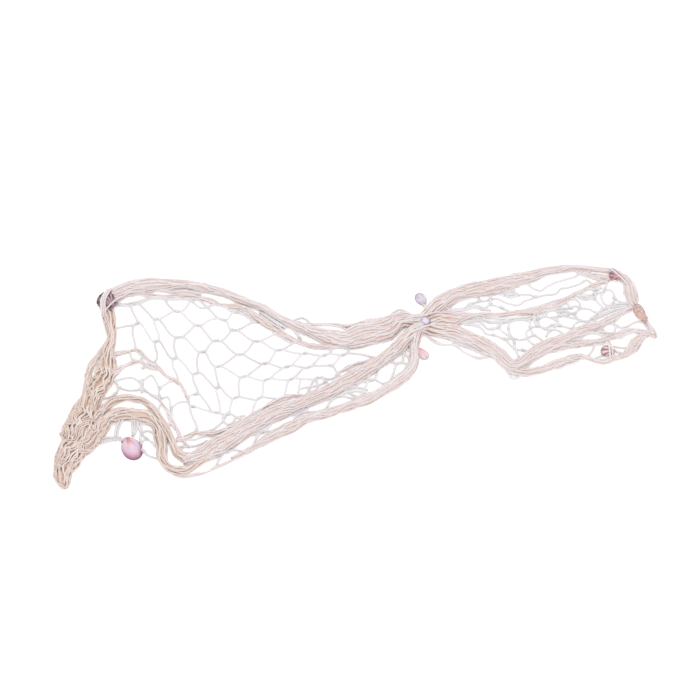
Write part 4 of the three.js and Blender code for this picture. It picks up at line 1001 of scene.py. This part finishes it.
LOOSE_TWINES = [
    # round the hanging clam, from the heap to the hump
    ((-416, -121, 3), (-392, -113, 2), (-367, -113, 3)),
    ((-412, -114, 3), (-393, -109, 2), (-376, -110, 2)),
    ((-414, -124, 3), (-396, -117, 2), (-380, -113, 2)),
    ((-369, -76, 4), (-377, -95, 2), (-379, -111, 2)),
    ((-374, -76, 4), (-381, -95, 2), (-383, -112, 2)),
    ((-352, -74, 4), (-351, -90, 3), (-353, -104, 3)),
    ((-347, -74, 4), (-347, -90, 3), (-351, -104, 3)),
    ((-356, -74, 4), (-355, -86, 3), (-354, -101, 3)),
    ((-348, -74, 4), (-344, -92, 2), (-340, -101, 2)),
    ((-343, -74, 4), (-341, -88, 2), (-339, -101, 2)),
    ((-340, -101, 2), (-342, -110, 2), (-340, -119, 2)),
    ((-340, -101, 2), (-336, -107, 2), (-332, -111, 2)),
    ((-340, -101, 2), (-330, -97, 2), (-314, -108, 3)),
    ((-340, -119, 2), (-331, -111, 2), (-311, -134, 3)),
    ((-337, -133, 2), (-327, -142, 2), (-308, -149, 3)),
    # under the top edge by the corner, and slack loops along it
    ((-378, 129, 3), (-356, 133, 2), (-326, 142, 3)), ((-330, 141, 3), (-300, 139, 2), (-262, 139, 3)),
    ((-262, 136, 3), (-246, 123, 2), (-224, 130, 3)), ((-103, 97, 5), (-84, 105, 3), (-68, 92, 5)),
    ((-250, 148, 4), (-272, 153, 4), (-290, 151, 4)), ((-290, 151, 4), (-312, 154, 4), (-338, 157, 5)),
    ((-150, 113, 5), (-136, 102, 4), (-122, 90, 5)), ((-144, 111, 5), (-131, 101, 5), (-114, 88, 5)),
    ((-104, 93, 5), (-97, 81, 4), (-88, 68, 5)), ((50, 102, 8), (70, 118, 6), (88, 110, 9)),
    # slack loops at the two ends, and the twine to the pale clam
    ((240, 12, 4), (252, -4, 2), (272, 4, 4)), ((-456, -106, 6), (-470, -102, 4), (-462, -114, 6)),
    ((118, 108, 8), (115, 119, 5), (110, 129, 3)), ((121, 106, 8), (119, 118, 5), (112, 128, 3)),
    # small meshes over the hump
    ((-388, -10, 3), (-358, -2, 2), (-341, -11, 2)), ((-377, -20, 2), (-360, -25, 2), (-341, -23, 2)),
    ((-341, -8, 2), (-338, -17, 2), (-341, -27, 2)), ((-341, -11, 2), (-325, 2, 2), (-312, -22, 2)),
    ((-312, -22, 2), (-303, -14, 2), (-291, -7, 3)), ((-341, -21, 2), (-326, -31, 2), (-309, -39, 2)),
    ((-312, -22, 2), (-313, -30, 2), (-309, -39, 2)), ((-309, -39, 2), (-298, -37, 2), (-293, -57, 2)),
    ((-293, -57, 2), (-282, -47, 2), (-265, -45, 3)), ((-293, -57, 2), (-291, -70, 2), (-297, -88, 3)),
    ((-309, -39, 2), (-310, -48, 2), (-315, -66, 3)), ((-342, 46, 3), (-341, 33, 2), (-346, 26, 3)),
    # between the hump and the lower edge
    ((-203, -67, 2), (-214, -84, 2), (-231, -98, 3)),
    ((-278, -108, 3), (-258, -113, 2), (-240, -106, 3)),
    ((-274, -126, 3), (-255, -124, 2), (-237, -117, 3)),
    ((-280, -135, 4), (-257, -137, 3), (-235, -124, 4)),
]
HOLDING_TWINES = [
    # start, middle, end, and how far the shoulders lie below the middle
    ((-396, 155, 6), (-406.5, 129, 18.4), (-405, 104, 8), 3.0),
    ((-393, 156, 6), (-403.5, 129, 17.5), (-402, 104, 8), 3.0),
    ((-390, 156, 6), (-400.5, 128, 17.9), (-399, 104, 8), 3.0),
    ((-371, 141, 6), (-387, 126, 18.3), (-404, 108, 9), 3.0),
    ((76, 98, 10), (108, 99, 22.2), (138, 112, 9), 5.5),
    ((84, 69, 10), (110, 80, 21.0), (136, 90, 9), 5.0),
    ((408, 191, 9), (421.5, 176, 17.3), (436, 163, 10), 3.0),
    ((413, 192, 9), (426, 179, 15.6), (440, 166, 10), 3.0),
    ((402, 62, 4), (406.5, 46, 13.5), (408, 30, 5), 3.0),
    ((406, 62, 4), (410.5, 46, 13.3), (412, 30, 5), 3.0),
]
STRAP_SHOULDER = 0.3  # where a holding twine's shoulder lies, as a share of the way to its middle
LOOSE_STEP = 3.0


def loose_line(stops):
    """A smooth line through a few stops that stays on the surface."""
    line = smooth_line(stops, LOOSE_STEP)[1]
    line[:, 2] = np.maximum(line[:, 2], WEB_RADIUS)
    return line


loose_dice = np.random.default_rng(801)
tied = []
for stops in LOOSE_TWINES:
    web_parts.append((twine_mesh(loose_line(stops), WEB_RADIUS), 0.0, loose_dice.random()))
    for end, inner in ((stops[0], stops[1]), (stops[-1], stops[-2])):
        spot = np.array(end[:2], float)
        if in_fold(*spot, share=0.85) or any(np.hypot(*(spot - other)) < 2 * KNOT_REACH for other in tied):
            continue
        tied.append(spot)
        web_parts.append(web_knot(spot, spot - inner[:2], loose_dice, KNOT_SIZE))
holding_parts = []
for start, middle, end, drop in HOLDING_TWINES:
    start, middle, end = (np.array(stop, float) for stop in (start, middle, end))
    rise = start + (middle - start) * STRAP_SHOULDER
    fall = end + (middle - end) * STRAP_SHOULDER
    rise[2] = fall[2] = middle[2] - drop
    line = loose_line([start, rise, middle, fall, end])
    holding_parts.append((twine_mesh(line), 0.0, loose_dice.random()))
net_holding_twines = net_piece("net_holding_twines", holding_parts, fold_cotton)
web_cotton = cotton_twine(
    "single_cotton", dark=(0.75, 0.72, 0.735), light=(0.823, 0.812, 0.838), deep=(1.0, 1.0, 1.0)
)
net_webs = net_piece("net_webs", web_parts, web_cotton)

# Sea shells: half shells of scallops, clams and a cockle, natural shell with a satin or glossy face,
# held in the net by the twines round them. The scallops have a fan of ribs and two ears; the clams
# are smooth with growth lines.

SHELL_RINGS = 30
SHELL_SPOKES = 208
SHELL_WALL = 1.1
BEAK_INSET = 0.12  # from the margin to the beak, as a share of the length
BEAK_RISE = 0.62  # how high the beak stands, as a share of the height
DOME_SWELL = 2.9  # how steeply it rises from there
GROWTH_LINES, GROWTH_HEIGHT = 11, 0.10
MARGIN_LOW, MARGIN_STEP = -0.4, 0.35  # the margin's lowest level, and how much higher it is inside
INSIDE_INSET = 1.4  # how far the inside is drawn in, in walls
RING_CROWD = 0.8  # below 1, the rings of the mesh lie closer towards the margin
FAN_START, FAN_EASE = 0.35, 0.5  # the ribs start at this angle from the beak, and rise over this one
RIB_SPREAD, RIB_LIFT, RIB_FADE = 0.012, 0.6, 0.35  # what ribs do to the outline and to the dome


def shell_margin(length, width, pinch, angle):
    """The margin of a shell at an angle round it, starting from the beak."""
    taper = np.abs(np.sin(angle / 2)) ** pinch
    swell = 1 + 0.12 * pinch
    return width * swell / 2 * np.sin(angle) * taper, length / 2 * np.cos(angle)


def dome(q):
    """How high a shell stands, as a share of its height, from its beak at 0 to its margin at 1."""
    return (
        BEAK_RISE
        + DOME_SWELL * (1 - BEAK_RISE) * q
        - (DOME_SWELL - (DOME_SWELL - 1) * BEAK_RISE) * q * q
    )


def shell_mesh(length, width, height, pinch, ribs, rib):
    """A half shell, beak towards +Y and dome up: its points, its faces and their place round it and
    from the beak. It is a tube of rings, out to the margin and back along the inside."""
    angle = 2 * math.pi * (np.arange(SHELL_SPOKES) + 0.5) / SHELL_SPOKES
    edge_x, edge_y = shell_margin(length, width, pinch, angle)
    beak = length * (0.5 - BEAK_INSET)
    fan = np.clip((np.minimum(angle, 2 * math.pi - angle) - FAN_START) / FAN_EASE, 0, 1)
    ridge = np.cos(ribs * (angle - math.pi)) * fan if ribs else np.zeros(SHELL_SPOKES)
    share = np.linspace(0.0, 1.0, SHELL_RINGS + 1)[1:] ** RING_CROWD
    spread = 1 + RIB_SPREAD * ridge
    points = []
    for inside, shares in ((0, share), (1, share[::-1])):
        inset = 1 - inside * SHELL_WALL / width * INSIDE_INSET
        for q in shares:
            growth = GROWTH_HEIGHT * np.sin(2 * math.pi * GROWTH_LINES * q**1.6) * (0.3 + 0.7 * q)
            ribbed = rib * RIB_LIFT * ridge * q * (1 - RIB_FADE * q)
            lift = dome(q) * height + ribbed + growth * (1 - inside)
            x = edge_x * q * spread * inset
            y = beak + (edge_y * spread * inset - beak) * q
            z = np.maximum(lift - inside * SHELL_WALL, MARGIN_LOW + MARGIN_STEP * inside)
            points.append(np.stack([x, y, z], axis=1))
    top = dome(0) * height
    points = np.vstack(points + [[[0, beak, top]], [[0, beak, top - SHELL_WALL]]])
    quads, tips = tube_faces(2 * SHELL_RINGS, SHELL_SPOKES)
    from_beak = np.append(np.repeat(np.concatenate([share, share[::-1]]), SHELL_SPOKES), [0, 0])
    round_shell = np.append(np.tile(angle / (2 * math.pi), 2 * SHELL_RINGS), [0.5, 0.5])

    def places(faces):
        u, v = round_shell[faces].copy(), from_beak[faces]
        wrap = (u.max(axis=1) - u.min(axis=1)) > 0.5
        u[wrap] = np.where(u[wrap] < 0.5, u[wrap] + 1, u[wrap])
        return np.stack([u.ravel(), v.ravel()], axis=1)

    return points, quads, places(quads), tips, places(tips)


EAR_COLUMNS, EAR_LEVELS = 25, 7
EAR_HALF, EAR_FOOT_HALF = 0.28, 0.2  # as shares of the shell's width
EAR_LENGTH = 0.16  # as a share of the shell's length
EAR_LOW, EAR_THICK = 0.25, 1.25
EAR_RIBS, EAR_RIB_LIFT = 9, 0.25
EAR_CREST = 0.9  # how much thicker the plate is by the beak
EAR_INSET = 0.3  # from the shell's end to the straight edge of the ears
EAR_PLACE = (0.02, 0.25)  # the ears have the colour of this place by the beak


def ear_mesh(length, width, rib):
    """The two ears beside a scallop's beak: a thin ribbed plate, narrower at its foot."""
    t = np.linspace(0, 1, EAR_LEVELS)[:, None]
    s = np.linspace(-1, 1, EAR_COLUMNS)[None, :]
    x = s * width * (EAR_HALF * (1 - t) + EAR_FOOT_HALF * t)
    y = np.broadcast_to(length * 0.5 - EAR_INSET - t * length * EAR_LENGTH, x.shape)
    ribbed = EAR_RIB_LIFT * np.cos(EAR_RIBS * math.pi * s) * rib
    face = EAR_LOW + EAR_THICK + ribbed + EAR_CREST * (1 - np.abs(s)) * t
    back = np.full(x.shape, EAR_LOW)
    points = np.concatenate([np.stack([x, y, z], axis=2).reshape(-1, 3) for z in (face, back)])
    top, under = np.arange(len(points)).reshape(2, EAR_LEVELS, EAR_COLUMNS)
    corners = [
        (top[:-1, :-1], top[1:, :-1], top[1:, 1:], top[:-1, 1:]),
        (under[:-1, :-1], under[:-1, 1:], under[1:, 1:], under[1:, :-1]),
        (top[:-1, 0], under[:-1, 0], under[1:, 0], top[1:, 0]),
        (top[:-1, -1], top[1:, -1], under[1:, -1], under[:-1, -1]),
        (top[0, :-1], top[0, 1:], under[0, 1:], under[0, :-1]),
        (top[-1, :-1], under[-1, :-1], under[-1, 1:], top[-1, 1:]),
    ]
    quads = np.vstack([np.stack([corner.ravel() for corner in side], axis=1) for side in corners])
    return points, quads, np.tile(EAR_PLACE, (4 * len(quads), 1)), np.zeros((0, 3), int), np.zeros((0, 2))


HINGE_SPAN = (-0.7, 0.25)  # from where to where it goes round the margin, from the beak
HINGE_RISE = 2.4
HINGE_RADIUS = 1.1
HINGE_POINTS = 14
HINGE_PLACE = (0.3, 1.0)  # the hinge has the colour of this place on the rim


def hinge_mesh(length, width, pinch):
    """The dark hinge of a clam: a short cord along the margin beside its beak."""
    angle = np.linspace(*HINGE_SPAN, HINGE_POINTS)
    edge_x, edge_y = shell_margin(length, width, pinch, angle)
    line = np.stack([edge_x, edge_y, np.full(len(angle), HINGE_RISE)], axis=1)
    points, quads, quad_places, tips, tip_places = twine_mesh(line, HINGE_RADIUS)
    quad_places, tip_places = (np.tile(HINGE_PLACE, (len(p), 1)) for p in (quad_places, tip_places))
    return points, quads, quad_places, tips, tip_places


def paint(red, green, blue):
    """A colour on the screen's scale of 0 to 255, as the shader's linear light."""
    tones = (red / 255, green / 255, blue / 255)
    return tuple(c / 12.92 if c < 0.041 else ((c + 0.055) / 1.055) ** 2.4 for c in tones)


SHELL_COAT = {"Coat Weight": 0.25, "Coat Roughness": 0.3}
BLOTCH_SCALE = 170.0
TONE_BLUR, RAY_WOBBLE, BAND_WOBBLE = 0.12, 1.2, 4.0  # how far blotches push tones, rays and bands
RIM_FALL = 7.0  # the larger, the narrower the dark rim
RIM_LEAST = 0.25  # how dark it is on its pale side, as a share
BAND_TURN, BAND_SHARE = 60.0, 0.3  # the fine growth bands
SHELL_RELIEF = (0.2, 0.0002)  # strength, and depth in metres


def shell_finish(name, tones, rays, ray_tone, stripes, fade, rim_and_shade_tone, shade_side, roughness):
    """Sea shell: tones from the beak to the margin, rays along its ribs that may fade towards the margin,
    fine growth bands, and a darker rim, partly the shell's own margin colour and partly painted shade, widest
    on its shaded side."""
    surface = {"Roughness": roughness, **SHELL_COAT}
    material, tree, shader, round_shell, from_beak = start_finish(name, surface)
    maths = partial(add_maths, tree)
    blotch = add_noise(tree, BLOTCH_SCALE, 4.0)
    wobble = maths("SUBTRACT", blotch, 0.5)
    blurred = maths("ADD", from_beak, maths("MULTIPLY", wobble, TONE_BLUR))
    colour = add_ramp(tree, blurred, [(at, paint(*tone)) for at, tone in tones])
    ray = maths("MULTIPLY", round_shell, 2 * math.pi * rays)
    ray = maths("COSINE", maths("ADD", ray, maths("MULTIPLY", wobble, RAY_WOBBLE)))
    ray = maths("ADD", maths("MULTIPLY", ray, 0.5), 0.5)
    ray = maths("MULTIPLY", ray, maths("MINIMUM", maths("MULTIPLY", from_beak, 2.0), 1.0))
    strength = maths("SUBTRACT", stripes, maths("MULTIPLY", from_beak, stripes * fade))
    colour = add_mix(tree, "MIX", maths("MULTIPLY", ray, strength), colour, paint(*ray_tone))
    # Painted shade: the rim is widest and darkest on one side, where the shell's edge lies in shadow.
    side = maths("COSINE", maths("MULTIPLY", maths("SUBTRACT", round_shell, shade_side), 2 * math.pi))
    side = maths("ADD", maths("MULTIPLY", side, 0.5), 0.5)
    side = maths("ADD", maths("MULTIPLY", side, 1 - RIM_LEAST), RIM_LEAST)
    rim = maths("MULTIPLY", maths("POWER", from_beak, RIM_FALL), side)
    colour = add_mix(tree, "MIX", rim, colour, paint(*rim_and_shade_tone))
    tree.links.new(colour, shader.inputs["Base Color"])
    bands = maths("MULTIPLY", from_beak, BAND_TURN)
    bands = maths("SINE", maths("ADD", bands, maths("MULTIPLY", wobble, BAND_WOBBLE)))
    bands = maths("ADD", maths("MULTIPLY", bands, BAND_SHARE), blotch)
    add_bump(tree, shader, bands, *SHELL_RELIEF)
    return material


SHELLS = [
    # name, slot, place, length, width, height, pinch, ribs, rib height, ears, turn, tilt, roll, finish
    ("scallop_corner", "shell_plum", (-397, 132, 9.5), 33, 35, 8, 0.75, 15, 0.7, True, -40, 0, 4,
     (((0, (170, 140, 152)), (0.5, (196, 164, 176)), (1, (168, 134, 148))), 8, (70, 44, 54), 0.98, 0.0,
      (80, 50, 62), 0.5, 0.45)),
    # Its pale rays by the beak are a painted highlight along the ridge from the hinge.
    ("clam_round", "shell_pink", (-355, -128.5, 0.5), 42, 33.5, 13, 0.08, 0, 0.0, False, 117, 0, 0,
     (((0, (196, 130, 142)), (0.28, (206, 146, 158)), (0.46, (212, 184, 204)), (0.66, (216, 202, 220)),
       (0.8, (222, 178, 202)), (0.92, (192, 136, 164)), (1, (150, 98, 124))), 4, (252, 210, 220), 0.75, 0.95,
      (106, 66, 82), 0.30, 0.2)),
    ("clam_pale", "shell_lavender", (106, 139.4, 0.6), 25, 19, 8, 0.3, 0, 0.0, False, -62, 0, 0,
     (((0, (196, 180, 192)), (0.35, (222, 212, 228)), (0.8, (216, 208, 224)), (1, (186, 176, 190))), 5,
      (176, 164, 180), 0.6, 0.3, (132, 120, 134), 0.62, 0.3)),
    ("clam_waist", "shell_blue_lavender", (113.4, 90.7, 17.8), 15, 15, 6, 0.3, 0, 0.0, False, 160, 0, 0,
     (((0, (206, 198, 214)), (0.5, (222, 216, 234)), (0.82, (212, 202, 220)), (1, (132, 106, 122))), 2,
      (234, 228, 242), 0.4, 0.0, (84, 58, 72), 0.5, 0.3)),
    ("cockle_pink", "shell_pale_pink", (108.5, 41, 0.5), 23, 18, 8, 0.35, 13, 0.6, False, 128, 0, 0,
     (((0, (216, 160, 172)), (0.4, (220, 166, 178)), (0.75, (230, 196, 204)), (1, (206, 192, 194))), 7,
      (248, 232, 234), 0.75, 0.2, (186, 172, 174), 0.4, 0.4)),
    ("scallop_end", "shell_dusty_red", (418, 178, 8.5), 21, 20, 7, 0.75, 15, 0.7, True, -52, 8, 0,
     (((0, (238, 210, 212)), (0.35, (226, 186, 190)), (0.7, (214, 170, 174)), (1, (208, 164, 168))), 7,
      (136, 78, 86), 0.95, 0.0, (150, 104, 110), 0.5, 0.4)),
    ("scallop_edge", "shell_peach", (457, 110, 10.5), 34, 24, 8, 0.75, 15, 0.7, True, -52, 0, 52,
     (((0, (206, 176, 164)), (0.4, (230, 202, 194)), (0.55, (186, 148, 134)), (0.66, (244, 220, 214)),
       (0.77, (190, 152, 140)), (0.88, (242, 216, 210)), (1, (204, 176, 168))), 9, (188, 150, 136), 0.75, 0.2,
      (164, 148, 152), 0.72, 0.5)),
    ("scallop_striped", "shell_striped_red", (404, 44, 4.6), 23, 23, 7, 0.75, 15, 0.7, True, -14, 0, 0,
     (((0, (226, 200, 204)), (0.5, (242, 218, 222)), (1, (240, 214, 218))), 6, (152, 102, 106), 1.0, 0.0,
      (168, 128, 130), 0.5, 0.4)),
]
for (name, slot, place, length, width, height, pinch, ribs, rib, ears, turn, tilt, roll, look) in SHELLS:
    lie = np.array(
        Matrix.Translation(Vector(place))
        @ Matrix.Rotation(math.radians(turn - 90), 4, "Z")
        @ Matrix.Rotation(math.radians(tilt), 4, "X")
        @ Matrix.Rotation(math.radians(roll), 4, "Y")
    )
    forms = [shell_mesh(length, width, height, pinch, ribs, rib)]
    if ears:
        forms.append(ear_mesh(length, width, rib))
    if name == "clam_round":
        forms.append(hinge_mesh(length, width, pinch))
    laid = [((points @ lie[:3, :3].T + lie[:3, 3], *rest), 0.0, 0.0) for points, *rest in forms]
    shell = joined("shell_" + name, laid, shell_finish(slot, *look))
    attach(shell, "root")
    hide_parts(name)

# The stage: a plain white surface, broad soft light from all round, and a long lens at the height of
# the photograph, about 63 degrees above the surface.

SURFACE_HALF = 6.0
SURFACE_DROP = 0.0004  # from the net's level down to the surface, so that the two never meet
floor_mesh = bpy.data.meshes.new("surface")
floor_corners = [(x * SURFACE_HALF, y * SURFACE_HALF, 0) for x, y in ((-1, -1), (1, -1), (1, 1), (-1, 1))]
floor_mesh.from_pydata(floor_corners, [], [(0, 1, 2, 3)])
surface = bpy.data.objects.new("surface", floor_mesh)
surface.location.z = -SURFACE_DROP
bpy.context.scene.collection.objects.link(surface)
white = bpy.data.materials.new("white_surface")
white.use_nodes = True
white_shader = white.node_tree.nodes["Principled BSDF"]
white_shader.inputs["Base Color"].default_value = (0.92, 0.92, 0.92, 1)
white_shader.inputs["Roughness"].default_value = 0.9
white_shader.inputs["Emission Color"].default_value = (1, 1, 1, 1)
white_shader.inputs["Emission Strength"].default_value = 0.3
floor_mesh.materials.append(white)

world = bpy.data.worlds.new("studio")
bpy.context.scene.world = world
world.use_nodes = True
world.node_tree.nodes["Background"].inputs["Color"].default_value = (1, 1, 1, 1)
world.node_tree.nodes["Background"].inputs["Strength"].default_value = 0.86
for label, spot, size, power in (
    ("overhead", (-0.5, 0.6, 2.2), 1.6, 16.0),
    ("side", (1.6, -0.9, 1.6), 1.2, 6.0),
):
    lamp = bpy.data.lights.new(label, "AREA")
    lamp.size = size
    lamp.energy = power
    light = bpy.data.objects.new(label, lamp)
    light.location = spot
    light.rotation_euler = (-Vector(spot)).to_track_quat("-Z", "Y").to_euler()
    bpy.context.scene.collection.objects.link(light)

VIEW_TILT = math.radians(62.7)  # how far the lens stands above the surface
FRAME = 680  # pixels across the picture
PIXEL = (1.6 * MM, 1.8 * MM)  # what one of them spans at the net, across and in depth
PLAN_ORIGIN = (355, 377)  # the pixel where the plan that the tables use has its origin
LENS, SENSOR = 500.0, 36.0
camera_data = bpy.data.cameras.new("camera")
camera_data.lens = LENS
camera_data.sensor_width = SENSOR
camera_data.clip_end = 50
camera = bpy.data.objects.new("camera", camera_data)
bpy.context.scene.collection.objects.link(camera)
bpy.context.scene.camera = camera
far = PIXEL[0] * FRAME * LENS / SENSOR
aim_x = (FRAME / 2 - PLAN_ORIGIN[0]) * PIXEL[0] - PLAN_CENTRE[0] * MM
aim_y = (PLAN_ORIGIN[1] - FRAME / 2) * PIXEL[1] - PLAN_CENTRE[1] * MM
camera.location = Vector((aim_x, aim_y, 0)) + Vector((0, -math.cos(VIEW_TILT), math.sin(VIEW_TILT))) * far
camera.rotation_euler = (math.pi / 2 - VIEW_TILT, 0, 0)
bpy.context.scene.view_settings.view_transform = "Standard"

bpy.context.view_layer.update()
